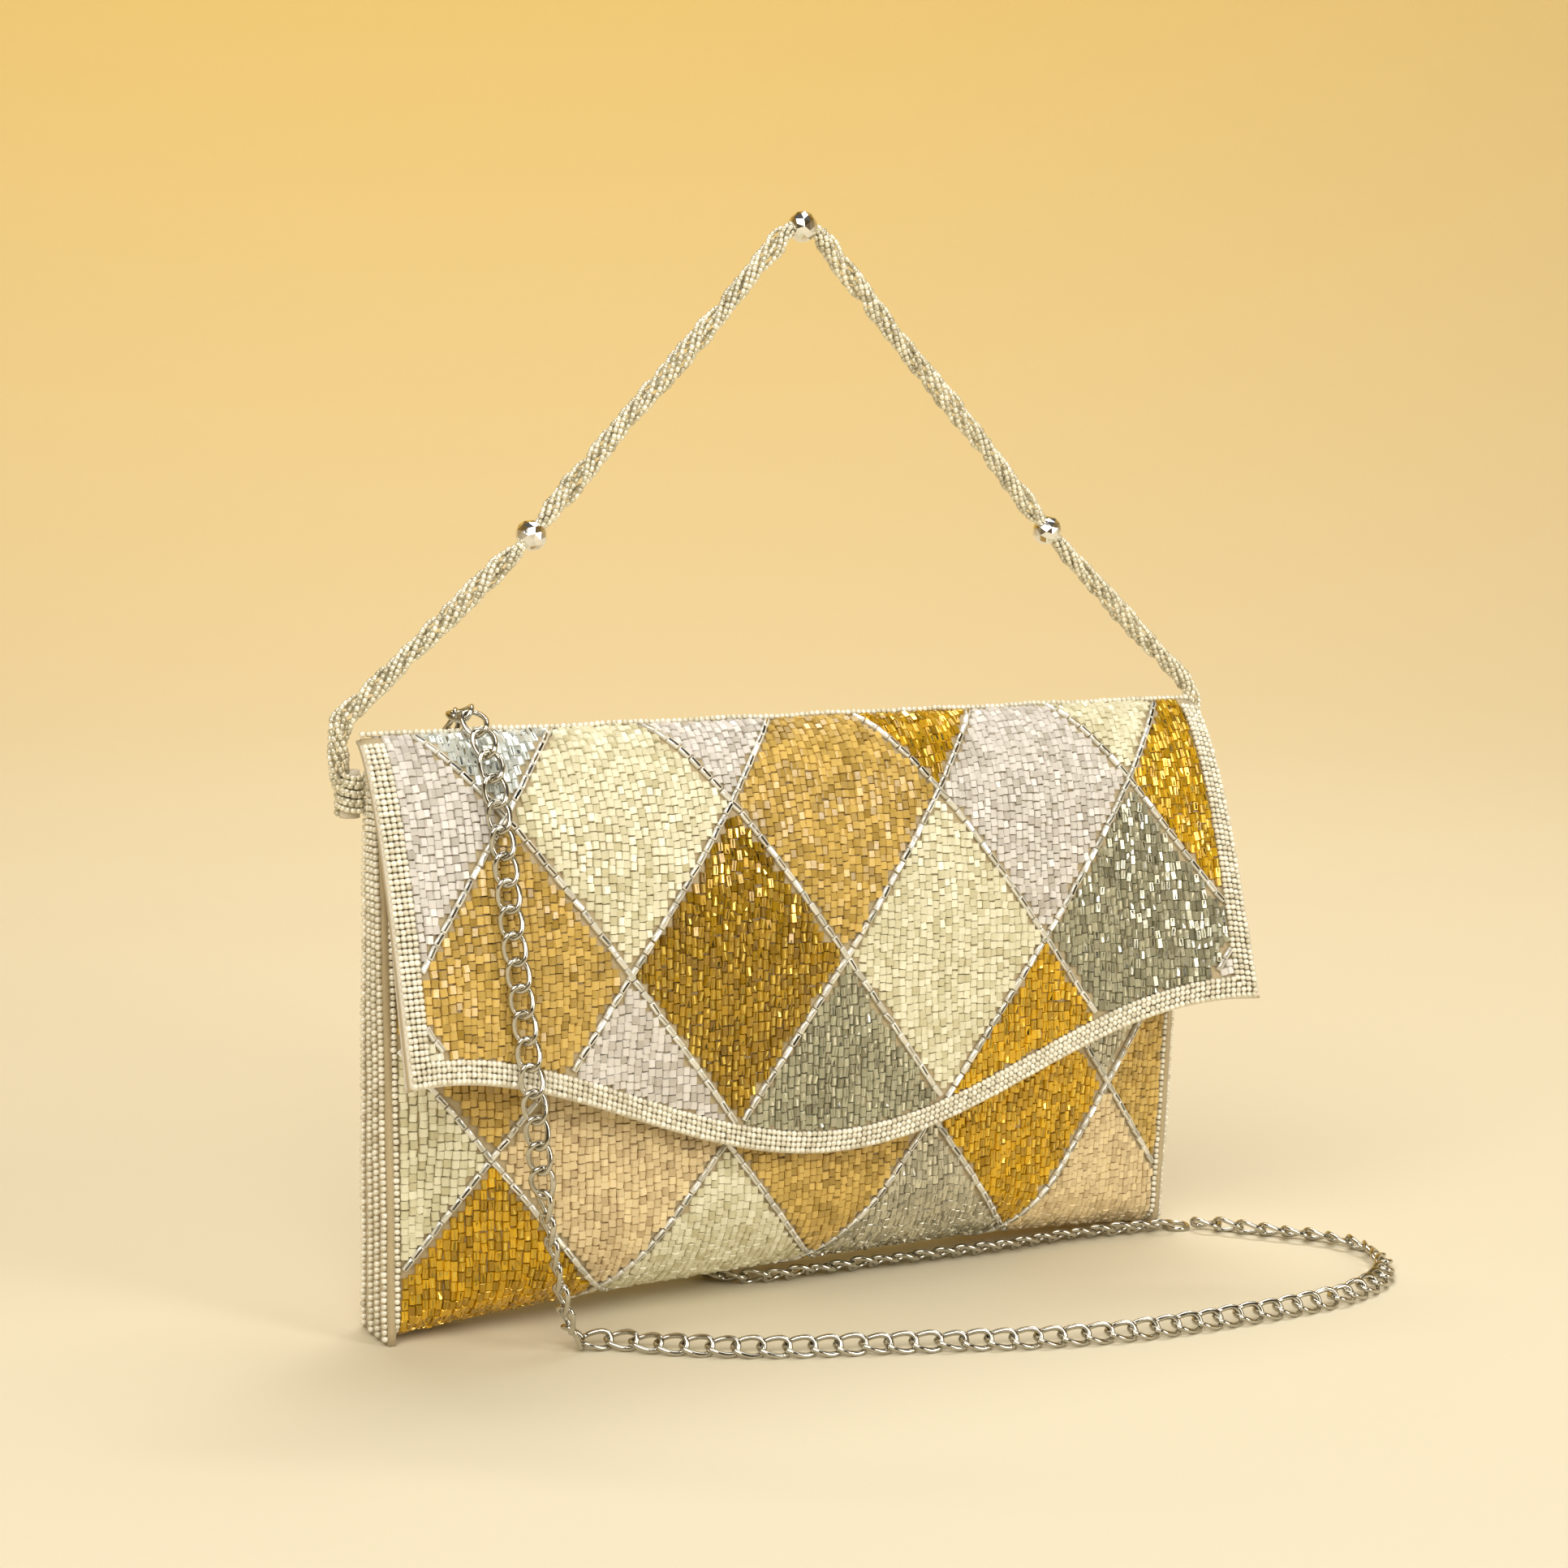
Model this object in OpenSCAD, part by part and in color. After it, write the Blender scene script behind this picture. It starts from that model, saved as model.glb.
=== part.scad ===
// Beaded envelope clutch purse with a rope handle and a chain strap.
// Millimetres. X runs along the purse, Y from front to back, Z up from the surface it stands on.

/* [Body] */
// Width of the body between its side gussets, at the bottom
base_w = 230; // [226:1:234]
// Width of the body between its side gussets, at the top fold
top_w = 236; // [232:1:238]
// Height of the top fold above the surface
fold_h = 150; // [148:1:152]
// Height of the mouth of the body, under the flap
mouth_h = 132; // [124:1:134]
// How far the top fold leans ahead of the bottom seam
lean = 6; // [5:1:10]
// How far the middle of the filled front stands out from the side seams
front_puff = 13; // [10:1:16]
// How far the middle of the filled back stands out from the side seams
back_puff = 13; // [8:1:15]
// Height of the arch under the middle of the bottom
arch_h = 5; // [4:0.5:7]
// Depth of a side gusset, at the bottom
gusset_d = 18; // [16:1:20]
// Thickness of a side gusset
gusset_t = 2.4; // [1.6:0.2:3]

/* [Flap] */
// Width of the flap
flap_w = 248; // [247:1:250]
// Height of the flap's lowest point, in the middle
flap_mid_z = 41; // [38:1:44]
// Height of the flap's lower corners
flap_corner_z = 73; // [68:1:76]
// How far the lower corners stand ahead of the top fold
flap_corner_out = 36; // [32:1:38]
// How far the middle of the lower edge stands ahead of the top fold
flap_mid_out = 23; // [22:1:25]

/* [Layers] */
// Thickness of the beaded front and of the flap
panel_t = 1.4; // [1:0.1:1.6]
// Thickness of the beaded back, which is padded
back_t = 2.1; // [1.4:0.1:2.4]
// Thickness of a stiffener board
board_t = 0.8; // [0.5:0.1:1]
// Thickness of the lining
lining_t = 0.6; // [0.4:0.1:0.8]
// Diameter of a piping bead
bead_d = 1.6; // [1.2:0.1:2]

/* [Handle] */
// Height of the middle of the handle above the surface
handle_z = 277; // [250:1:290]
// Diameter of the twisted bead rope
rope_d = 5.2; // [4:0.2:6]
// Diameter of a round metal bead on the handle
ball_d = 8.4; // [7:0.2:9]

/* [Hardware] */
// Outer width of a D-ring
d_ring_w = 14; // [13:0.5:15]
// Wire diameter of a D-ring
d_ring_wire = 1.8; // [1.4:0.2:2]
// Diameter of the magnetic snap
snap_d = 15; // [12:1:17]
// Diameter of the round bar that has the chain's own weight
chain_d = 2.4; // [2:0.1:2.6]

/* [Hidden] */

SILVER = [0.80, 0.80, 0.78];
PEARL = [0.86, 0.83, 0.78];
CREAM = [0.92, 0.90, 0.78];
GOLD = [0.80, 0.62, 0.22];
SAND = [0.86, 0.74, 0.50];
BOARD = [0.55, 0.50, 0.42];
SATIN = [0.84, 0.80, 0.72];

fold_y = 6;                      // the fold line, ahead of the bottom seam
base_y = fold_y + lean;          // the middle of the bottom seam
seam_z = 147;                    // top of the body, just under the fold
roll_r = 1.6;                    // radius of the rolled cloth along the fold
gusset_top_d = 5;                // depth of a side gusset, at the top
columns = 18;                    // steps across a panel
rows = 13;                       // steps up a panel
round_rows = 4;                  // of those, the steps round the bottom
ply_gap = 0.05;                  // between two layers that are sewn together
board_span = [16 / 18, 1 / 13, 12 / 13];  // the boards stop one step of the grid short of the edges

// ---- the filled body: side seams, and the front and back between them

function seam_y(z) = base_y - lean * z / fold_h;
function seam_half(z) = gusset_d / 2 - (gusset_d - gusset_top_d) / 2 * pow(z / seam_z, 2);
function half_w(z) = (base_w + (top_w - base_w) * z / fold_h) / 2;
function across(u) = cos(90 * pow(min(1, abs(u)), 1.5));
function rise(z) = z < 60 ? cos(90 * pow((60 - z) / 110, 2)) : cos(90 * pow((z - 60) / 90, 2));
function arch_z(u) = 0.6 + (arch_h - 0.6) * across(u);
function round_z(u) = 6 + 20 * across(u);

// A point on the outside of the front (side -1) or back (side 1), from the bottom seam up to top_z
function wall_out(side, u, z) = seam_half(z) + (side < 0 ? front_puff : back_puff) * across(u) * rise(z);
function body_point(side, u, v, top_z) =
    let (knee = round_rows / rows, z1 = arch_z(u) + round_z(u))
    v <= knee
    ? let (a = 90 * v / knee, z = arch_z(u) + round_z(u) * (1 - cos(a)))
        [u * half_w(z), seam_y(z) + side * wall_out(side, u, z1) * sin(a), z]
    : let (z = z1 + (top_z - z1) * (v - knee) / (1 - knee))
        [u * half_w(z), seam_y(z) + side * wall_out(side, u, z), z];

// ---- the flap, from the fold down to its curved lower edge

function flap_edge_z(u) = let (mid = (flap_mid_z + flap_corner_z) / 2) mid - (flap_corner_z - mid) * cos(180 * u);
function flap_edge_y(u) = fold_y - flap_mid_out - (flap_corner_out - flap_mid_out) * pow(abs(u), 4);
function flap_crown(u) = 5 + 8 * across(u);
function flap_point(u, v) =
    let (start = [fold_y, fold_h + roll_r], end = [flap_edge_y(u), flap_edge_z(u)],
        chord = end - start, normal = [chord[1], -chord[0]] / norm(chord),
        p = start + chord * v + normal * flap_crown(u) * sin(180 * pow(v, 0.6)))
    [u * flap_w / 2, p[0], p[1]];

// ---- slabs that follow a surface: kind 0 is the front, 1 the back and 2 the flap

function skin_point(kind, u, v, top_z) =
    kind == 2 ? flap_point(u, v) : body_point(kind == 0 ? -1 : 1, u, v, top_z);
function outward(kind, u, v, top_z) =
    let (e = 0.004, s = kind == 1 ? -1 : 1,
        a = skin_point(kind, u + e, v, top_z) - skin_point(kind, u - e, v, top_z),
        b = skin_point(kind, u, min(1, v + e), top_z) - skin_point(kind, u, max(0, v - e), top_z),
        n = (kind == 2 ? -1 : 1) * s * cross(a, b))
    n / norm(n);
function mix(a, b, t) = a + (b - a) * t;

// The points of a slab between two depths below the surface, over part of its width and height
function slab_grid(kind, depth, span, nu, nv, top_z) =
    [for (j = [0:nv]) for (i = [0:nu])
        let (u = mix(-1, 1, i / nu) * span[0], v = mix(span[1], span[2], j / nv))
        skin_point(kind, u, v, top_z) - outward(kind, u, v, top_z) * depth];

module slab(kind, depth, thick, span = [1, 0, 1], nu = columns, nv = rows, top_z = seam_z) {
    outer = slab_grid(kind, depth, span, nu, nv, top_z);
    inner = slab_grid(kind, depth + thick, span, nu, nv, top_z);
    across_n = nu + 1;
    count = len(outer);
    flip = kind != 0;
    sheet = [for (j = [0:nv - 1]) for (i = [0:nu - 1])
        let (a = j * across_n + i) each [[a, a + across_n, a + across_n + 1], [a, a + across_n + 1, a + 1]]];
    rim = concat([for (i = [0:nu]) i], [for (j = [1:nv]) j * across_n + nu],
        [for (i = [nu - 1:-1:0]) nv * across_n + i], [for (j = [nv - 1:-1:1]) j * across_n]);
    sides = [for (k = [0:len(rim) - 1])
        let (a = rim[k], b = rim[(k + 1) % len(rim)])
        each [[a, b, b + count], [a, b + count, a + count]]];
    back = [for (t = sheet) [t[2] + count, t[1] + count, t[0] + count]];
    all_faces = concat(sheet, back, sides);
    faces = flip ? [for (t = all_faces) [t[2], t[1], t[0]]] : all_faces;
    polyhedron(concat(outer, inner), faces);
}

// ---- tubes swept along a list of points

function unit(v) = v / norm(v);
function heading(path, i) = unit(path[min(i + 1, len(path) - 1)] - path[max(i - 1, 0)]);
function side_way(d) = unit(cross(abs(d[2]) > 0.9 ? [0, 1, 0] : [0, 0, 1], d));
function carried(path, i, prev) = let (d = heading(path, i)) unit(prev - d * (prev * d));
function frames(path, i = 0, prev = undef, out = []) = i == len(path) ? out :
    let (s = i == 0 ? side_way(heading(path, 0)) : carried(path, i, prev))
    frames(path, i + 1, s, concat(out, [s]));

// A smooth run through hand-set points, with a number of steps between each pair
function smooth(p, n) = [for (i = [0:len(p) - 2]) for (k = [0:n - 1])
    let (a = p[max(i - 1, 0)], b = p[i], c = p[i + 1], d = p[min(i + 2, len(p) - 1)], t = k / n)
    b + 0.5 * t * ((c - a) + t * ((2 * a - 5 * b + 4 * c - d) + t * (3 * b - a - 3 * c + d))), p[len(p) - 1]];

module tube(path, radii, sides = 8) {
    ring_frames = frames(path);
    last = len(path) - 1;
    points = [for (i = [0:last])
        let (d = heading(path, i), s = ring_frames[i], t = cross(d, s), r = is_list(radii) ? radii[i] : radii)
        for (k = [0:sides - 1]) path[i] + r * (cos(360 * k / sides) * s + sin(360 * k / sides) * t)];
    walls = [for (i = [0:last - 1]) for (k = [0:sides - 1])
        let (a = i * sides + k, b = i * sides + (k + 1) % sides) [a, a + sides, b + sides, b]];
    caps = [[for (k = [0:sides - 1]) k], [for (k = [sides - 1:-1:0]) last * sides + k]];
    polyhedron(points, concat(caps, walls));
}

// ---- body panels

board_depth = panel_t + ply_gap;
lining_depth = board_depth + board_t + ply_gap;
module front_panel() { color(CREAM) slab(0, 0, panel_t, top_z = mouth_h); }
module front_board() {
    color(BOARD) difference() {
        slab(0, board_depth, board_t, board_span, 16, 11, mouth_h);
        snap_hole();
    }
}
module front_lining() { color(SATIN) slab(0, lining_depth, lining_t, top_z = mouth_h); }
module back_panel() { color(CREAM) slab(1, 0, back_t); }
module back_board() { color(BOARD) slab(1, back_t + ply_gap, board_t, board_span, 16, 11); }
module back_lining() { color(SATIN) slab(1, back_t + board_t + 2 * ply_gap, lining_t); }

// A flat pocket sewn to the back lining
pocket_depth = back_t + board_t + lining_t + 3 * ply_gap;
module slip_pocket() { color(SATIN) slab(1, pocket_depth, 0.6, [10 / 18, 6 / 13, 11 / 13], 10, 5); }

// A rolled binding along the front's mouth
binding_r = 1.2;
module mouth_binding() {
    color(SILVER) tube([for (k = [-12:12])
        let (u = 0.985 * k / 12, p = body_point(-1, u, 1, mouth_h))
        p + [0, (lining_depth + lining_t) / 2, binding_r * 1.1]], binding_r);
}

// ---- side gussets, with three rows of beads down each

module gusset(side) {
    steps = 10;
    zs = [for (k = [0:steps]) seam_z * k / steps];
    corners = [for (z = zs) for (c = [[0, -1], [1, -1], [1, 1], [0, 1]])
        [side * (half_w(z) + c[0] * gusset_t), seam_y(z) + c[1] * seam_half(z), z]];
    walls = [for (k = [0:steps - 1]) for (c = [0:3])
        let (a = 4 * k + c, b = 4 * k + (c + 1) % 4) [a, a + 4, b + 4, b]];
    caps = [[0, 1, 2, 3], [4 * steps + 3, 4 * steps + 2, 4 * steps + 1, 4 * steps]];
    faces = concat(caps, walls);
    polyhedron(corners, side > 0 ? faces : [for (f = faces) [f[3], f[2], f[1], f[0]]]);
}
module gusset_left() { color(PEARL) gusset(-1); }
module gusset_right() { color(PEARL) gusset(1); }

trim_top = 122;                  // the rows stop under the handle's anchor
module gusset_trim(side) {
    for (lane = [-0.8, 0, 0.8]) {
        row = [for (k = [0:8])
            let (z = 1 + (trim_top - 1) * k / 8)
            [side * (half_w(z) + gusset_t + bead_d / 2), seam_y(z) + lane * seam_half(z), z]];
        tube(row, bead_d / 2, 6);
    }
}
module gusset_trim_left() { color(SILVER) gusset_trim(-1); }
module gusset_trim_right() { color(SILVER) gusset_trim(1); }

// ---- flap

module flap_panel() {
    color(GOLD) union() {
        slab(2, 0, panel_t);
        translate([-flap_w / 2, fold_y, fold_h]) rotate([0, 90, 0]) cylinder(h = flap_w, r = roll_r, $fn = 24);
    }
}
module flap_board() {
    color(BOARD) difference() {
        slab(2, board_depth, board_t, board_span, 16, 11);
        snap_hole();
    }
}
module flap_lining() { color(SATIN) slab(2, lining_depth, lining_t, [1, 1 / 13, 1], columns, 12); }

// Two rows of beads along the sides and the lower edge of the flap
module flap_piping() {
    inset = [0.5, 3.6];
    color(SILVER) for (gap = inset) {
        u1 = 1 - 2 * gap / flap_w;
        v1 = 1 - gap / 100;
        side_steps = 7;
        edge_steps = 24;
        route = concat(
            [for (k = [0:side_steps]) [-u1, mix(0.05, v1, k / side_steps)]],
            [for (k = [1:edge_steps]) [mix(-u1, u1, k / edge_steps), v1]],
            [for (k = [1:side_steps]) [u1, mix(v1, 0.05, k / side_steps)]]);
        tube([for (q = route) flap_point(q[0], q[1]) + outward(2, q[0], q[1], seam_z) * bead_d / 2], bead_d / 2, 6);
    }
}
module fold_trim() {
    color(SILVER) translate([-flap_w / 2, fold_y, fold_h + roll_r + bead_d / 2])
        rotate([0, 90, 0]) cylinder(h = flap_w, r = bead_d / 2, $fn = 16);
}

// ---- magnetic snap under the middle of the flap

snap_z = 55;
snap_gap = 0.3;
snap_t = 1.25;
snap_pin_r = 2.2;
washer_t = 0.7;
knee = round_rows / rows;
front_v = knee + (1 - knee) * (snap_z - arch_z(0) - round_z(0)) / (mouth_h - arch_z(0) - round_z(0));
front_face_y = body_point(-1, 0, front_v, mouth_h)[1];
stud_y = front_face_y - snap_t - snap_gap;
module disc(y, h, r) { translate([0, y, snap_z]) rotate([-90, 0, 0]) cylinder(h = h, r = r, $fn = 48); }
module snap_hole() { disc(-60, 80, snap_d / 2 - 1.5); }
module snap_socket() {
    color(SILVER) difference() {
        disc(front_face_y - snap_t, snap_t, snap_d / 2);
        disc(front_face_y - snap_t - 1, 1 + snap_t - 0.2, snap_pin_r + 0.3);
    }
}
module snap_stud() {
    color(SILVER) union() {
        disc(stud_y - snap_t, snap_t, snap_d / 2);
        disc(stud_y, 0.9, snap_pin_r);
    }
}
module snap_washer_front() {
    color(SILVER) disc(front_face_y + board_depth + 0.05, washer_t, snap_d / 2 - 1.8);
}
module snap_washer_flap() {
    color(SILVER) disc(stud_y - snap_t - lining_t - 0.25 - washer_t, washer_t, snap_d / 2 - 1.8);
}

// ---- handle: a twisted rope of bead strands through three metal balls, anchored at the side seams

pivot = [126.8, 10, 149.6];
knuckle_r = 2;
ball_side = [76.5, 11, 199];
ball_top = [0, 14, handle_z];
rope_r = rope_d / 2;
neck_r = 1.6;
function flip_x(p, side) = [side * p[0], p[1], p[2]];
function toward(a, b, d) = a + unit(b - a) * d;

// The lower run starts as a round knuckle on the pivot and ends as a thin neck in the ball
LOW_BEND = [[126.8, 10, 152], [126.3, 10.2, 154.4], [124.4, 10.6, 157], [120.6, 11, 160], [115, 11, 164.4],
    [109, 11, 170]];
module rope_lower(side) {
    knuckle = [[0, 0, -knuckle_r], [0, 0, -0.7 * knuckle_r], [0, 0, 0]];
    neck = [for (d = [9, 5, 0.2]) toward(ball_side, LOW_BEND[5], d)];
    points = concat([for (k = knuckle) pivot + k], LOW_BEND, neck);
    radii = [0.6, 0.75 * knuckle_r, knuckle_r, 2.1, 2.3, rope_r, rope_r, rope_r, rope_r, rope_r, neck_r, neck_r];
    tube([for (p = points) flip_x(p, side)], radii);
}
module rope_upper(side) {
    a = flip_x(ball_side, side);
    b = [side * 8.5, ball_top[1], handle_z - 5.5];
    neck = [[8.5, -5.5], [6.4, -2.2], [4.6, -0.5], [2.6, 0], [0.2, 0]];
    points = concat([for (d = [0.2, 5, 9]) toward(a, b, d)], [mix(a, b, 0.5), toward(b, a, 6)],
        [for (n = neck) [side * n[0], ball_top[1], handle_z + n[1]]]);
    tube(points, [neck_r, neck_r, rope_r, rope_r, rope_r, 2.2, neck_r, neck_r, neck_r, neck_r]);
}
module rope_left_lower() { color(PEARL) rope_lower(-1); }
module rope_right_lower() { color(PEARL) rope_lower(1); }
module rope_left_upper() { color(PEARL) rope_upper(-1); }
module rope_right_upper() { color(PEARL) rope_upper(1); }

// A metal ball with a bore for the strands; tilt turns its bore along the rope
module ball(at, tilt) {
    translate(at) rotate([0, tilt, 0]) difference() {
        sphere(d = ball_d, $fn = 32);
        cylinder(h = ball_d + 2, r = neck_r + 0.3, center = true, $fn = 32);
    }
}
side_tilt = atan2(ball_side[0] - 8.5, handle_z - 5.5 - ball_side[2]);
module ball_left() { color(SILVER) ball(flip_x(ball_side, -1), side_tilt); }
module ball_right() { color(SILVER) ball(ball_side, -side_tilt); }
module ball_middle() { color(SILVER) ball(ball_top, 90); }

// Turns of bead strand bound round the top of each gusset
anchor_z = 131.5;
anchor_r = 3.4;
turns = 4;
turn_h = 3;
anchor_x = half_w(anchor_z) + gusset_t + anchor_r + 0.2;
module handle_anchor(side) {
    stub_z = anchor_z + turns * turn_h - 1;
    translate([side * anchor_x, pivot[1] + 1.5, anchor_z]) scale([1, 1.4, 1]) union() {
        cylinder(h = turns * turn_h, r = anchor_r - 0.5, $fn = 32);
        for (k = [0:turns - 1]) translate([0, 0, turn_h * k])
            cylinder(h = turn_h - 0.5, r = anchor_r, $fn = 32);
    }
    translate([side * pivot[0], pivot[1], stub_z])
        cylinder(h = pivot[2] - knuckle_r - 0.3 - stub_z, r = knuckle_r, $fn = 24);
}
module handle_anchor_left() { color(PEARL) handle_anchor(-1); }
module handle_anchor_right() { color(PEARL) handle_anchor(1); }

// ---- D-rings on tabs at the top of the back, with the chain's claw clasps

ring_x = 104;
ring_bar_z = 139;
ring_drop = 3;
ring_gap = 0.25;
hook_r = 3.8;                    // outside of a clasp's hook
hook_hole_r = 2.1;
clasp_z = ring_bar_z - ring_drop - d_ring_w / 2 + d_ring_wire - hook_hole_r + 0.35;
back_touch_y = seam_y(clasp_z) + wall_out(1, ring_x / half_w(clasp_z), clasp_z);
ring_y = back_touch_y + hook_r + 0.8;
tab_w = 7;

// A padded tab that carries the ring's straight bar
module ring_tab(side) {
    bore = d_ring_wire / 2 + ring_gap;
    shell = bore + 0.8;
    root_y = seam_y(144) + wall_out(1, ring_x / half_w(144), 144);
    translate([side * ring_x - tab_w / 2, 0, 0]) rotate([90, 0, 90]) linear_extrude(tab_w) difference() {
        hull() {
            translate([ring_y, ring_bar_z]) circle(r = shell, $fn = 32);
            translate([root_y + 0.3, 143]) square([0.8, 3.4]);
        }
        translate([ring_y, ring_bar_z]) circle(r = bore, $fn = 32);
    }
}
module ring_tab_left() { color(SATIN) ring_tab(-1); }
module ring_tab_right() { color(SATIN) ring_tab(1); }

// A D-ring hanging from its straight bar
module d_ring(side) {
    wire = d_ring_wire / 2;
    bow = d_ring_w / 2 - wire;
    translate([side * ring_x, ring_y, ring_bar_z]) union() {
        translate([-bow, 0, 0]) rotate([0, 90, 0]) cylinder(h = 2 * bow, r = wire, $fn = 24);
        for (s = [-1, 1]) {
            translate([s * bow, 0, -ring_drop]) cylinder(h = ring_drop, r = wire, $fn = 24);
            translate([s * bow, 0, 0]) sphere(r = wire, $fn = 24);
        }
        translate([0, 0, -ring_drop]) rotate([90, 0, 0]) rotate([0, 0, 180])
            rotate_extrude(angle = 180, $fn = 48) translate([bow, 0]) circle(r = wire, $fn = 24);
    }
}
module d_ring_left() { color(SILVER) d_ring(-1); }
module d_ring_right() { color(SILVER) d_ring(1); }

// A claw clasp: a hook through the D-ring, closed by a sprung lever, with an eye for the chain below.
// It is drawn flat, then stood across the D-ring with the lever to the back.
clasp_t = 2.8;
neck_w = 5;
neck_end = -8.6;
eye_z = -10.4;
pin_at = [1.7, -5.2];
lever_t = 1.2;
module clasp_place(side) {
    translate([side * ring_x, ring_y, clasp_z]) rotate([90, 0, 90]) children();
}
module clasp(side) {
    clasp_place(side) difference() {
        union() {
            linear_extrude(clasp_t, center = true) difference() {
                union() {
                    circle(r = hook_r, $fn = 48);
                    translate([-neck_w / 2, neck_end]) square([neck_w, -neck_end - 3]);
                }
                circle(r = hook_hole_r, $fn = 48);
                translate([1.4, -3.6]) square([3, 3.4]);
            }
            translate([0, eye_z]) linear_extrude(1.4, center = true) difference() {
                circle(r = 2.2, $fn = 32);
                circle(r = 1.1, $fn = 32);
            }
        }
        translate([0.2, -7.8]) linear_extrude(lever_t + 0.4, center = true) square([4.2, 6.3]);
        translate([pin_at[0], pin_at[1], -clasp_t]) cylinder(h = 2 * clasp_t, r = 0.5, $fn = 24);
    }
}
module clasp_left() { color(SILVER) clasp(-1); }
module clasp_right() { color(SILVER) clasp(1); }

// The sprung lever, on its pin between the clasp's cheeks
module clasp_lever(side) {
    clasp_place(side) linear_extrude(lever_t, center = true) difference() {
        union() {
            translate(pin_at) circle(r = 1.1, $fn = 24);
            translate([pin_at[0] + 0.1, pin_at[1]]) square([1, 4.7]);
            translate([pin_at[0] + 0.2, pin_at[1] - 1.9]) square([1.9, 1.9]);
        }
        translate(pin_at) circle(r = 0.56, $fn = 24);
    }
}
module clasp_lever_left() { color(SILVER) clasp_lever(-1); }
module clasp_lever_right() { color(SILVER) clasp_lever(1); }
module clasp_pin(side) {
    clasp_place(side) translate([pin_at[0], pin_at[1], -clasp_t / 2]) cylinder(h = clasp_t, r = 0.5, $fn = 24);
}
module clasp_pin_left() { color(SILVER) clasp_pin(-1); }
module clasp_pin_right() { color(SILVER) clasp_pin(1); }

// ---- chain strap: four runs that meet end to end, and a ring that joins two of them

chain_z = chain_d / 2;
clasp_foot = [104, ring_y, clasp_z + eye_z - 2.4];
BACK_ROUTE = [flip_x(clasp_foot, -1), [-104.5, 20, 108], [-104, 21.5, 98], [-101, 22.8, 89], [-96, 23.6, 86],
    [-91.5, 23.8, 90], [-90.5, 22.8, 100], [-91.5, 21, 112], [-93.5, 18.4, 126], [-95.5, 15, 140],
    [-97, 12.6, 150], [-97.5, 8, 155]];
FRONT_ROUTE = [[-97.5, 8, 155], [-96.4, 4, 154.6], [-95, -0.2, 152.4], [-95, -4.4, 147.6], [-95, -7.6, 142.8],
    [-95, -12.4, 131.7], [-94.8, -15.9, 120.4], [-94.5, -18.5, 108], [-93.5, -20.2, 96.5],
    [-92.4, -21.8, 84.3], [-91.8, -23.6, 75.2], [-91.6, -25, 68], [-90.8, -25.2, 58], [-89.6, -24.8, 49],
    [-87.4, -23.8, 38], [-85, -23, 27], [-82.2, -22.4, 16], [-80, -21, 9], [-77.5, -18.8, 3.8],
    [-74.5, -18.5, chain_z]];
FLOOR_ROUTE = [[-74.5, -18.5, chain_z], [-68, -21, chain_z], [-60.5, -28, chain_z], [-51, -35, chain_z],
    [-40, -41.5, chain_z], [-28, -47, chain_z], [-6.5, -54.5, chain_z], [11.5, -61, chain_z],
    [30, -67.5, chain_z], [54, -73, chain_z], [78, -75, chain_z], [104, -75.5, chain_z], [118, -74.5, chain_z],
    [131, -71, chain_z], [141, -65.5, chain_z], [148, -58, chain_z], [152.5, -49, chain_z],
    [153, -41, chain_z], [150.5, -33, chain_z], [144.5, -25.5, chain_z], [136.5, -17.5, chain_z],
    [128.6, -9, chain_z], [124.2, -5.2, chain_z]];
RETURN_ROUTE = [[115.8, -1.7, chain_z], [106.6, -1.4, chain_z], [94, 0.6, chain_z], [80.4, 1.4, chain_z],
    [66, 1, chain_z], [53, 1.4, chain_z], [28.5, 3.5, chain_z], [4, 5, chain_z], [-8, 5.5, chain_z],
    [-18, 10, chain_z], [-22, 18, chain_z], [-16, 28, chain_z], [2, 38, chain_z], [26, 43, chain_z],
    [54, 44, chain_z], [80, 42, chain_z], [96, 39, 1.8], [103, 35, 8], [105, 31, 24], [105, 28.5, 46],
    [104.6, 26, 70], [104.2, 23, 92], [104, 20.4, 106], clasp_foot];
module chain_back() { color(SILVER) tube(smooth(BACK_ROUTE, 2), chain_d / 2); }
module chain_front() { color(SILVER) tube(smooth(FRONT_ROUTE, 2), chain_d / 2); }
module chain_floor() { color(SILVER) tube(smooth(FLOOR_ROUTE, 1), chain_d / 2); }
module chain_return() { color(SILVER) tube(smooth(RETURN_ROUTE, 1), chain_d / 2); }

// A plain ring between the loop on the floor and the run under the purse
ring_link_d = 8;
module chain_ring() {
    color(SILVER) translate([120.7, -0.7, 0.75]) rotate_extrude($fn = 48)
        translate([ring_link_d / 2 - 0.6, 0]) circle(r = 0.6, $fn = 24);
}

front_panel();
front_board();
front_lining();
mouth_binding();
back_panel();
back_board();
back_lining();
slip_pocket();
gusset_left();
gusset_right();
gusset_trim_left();
gusset_trim_right();
flap_panel();
flap_board();
flap_lining();
flap_piping();
fold_trim();
snap_socket();
snap_stud();
snap_washer_front();
snap_washer_flap();
handle_anchor_left();
handle_anchor_right();
rope_left_lower();
rope_left_upper();
rope_right_upper();
rope_right_lower();
ball_left();
ball_middle();
ball_right();
ring_tab_left();
ring_tab_right();
d_ring_left();
d_ring_right();
clasp_left();
clasp_right();
clasp_lever_left();
clasp_lever_right();
clasp_pin_left();
clasp_pin_right();
chain_back();
chain_front();
chain_floor();
chain_ring();
chain_return();
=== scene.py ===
"""Looks of the beaded clutch purse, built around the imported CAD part.

The bead work, the cloth, the strung handle and the curb chain are made here. Lengths are in
millimetres in the shape code and are turned into metres when a mesh is made.
"""

import math

import bpy
import numpy as np
from mathutils import Matrix, Vector


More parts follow.
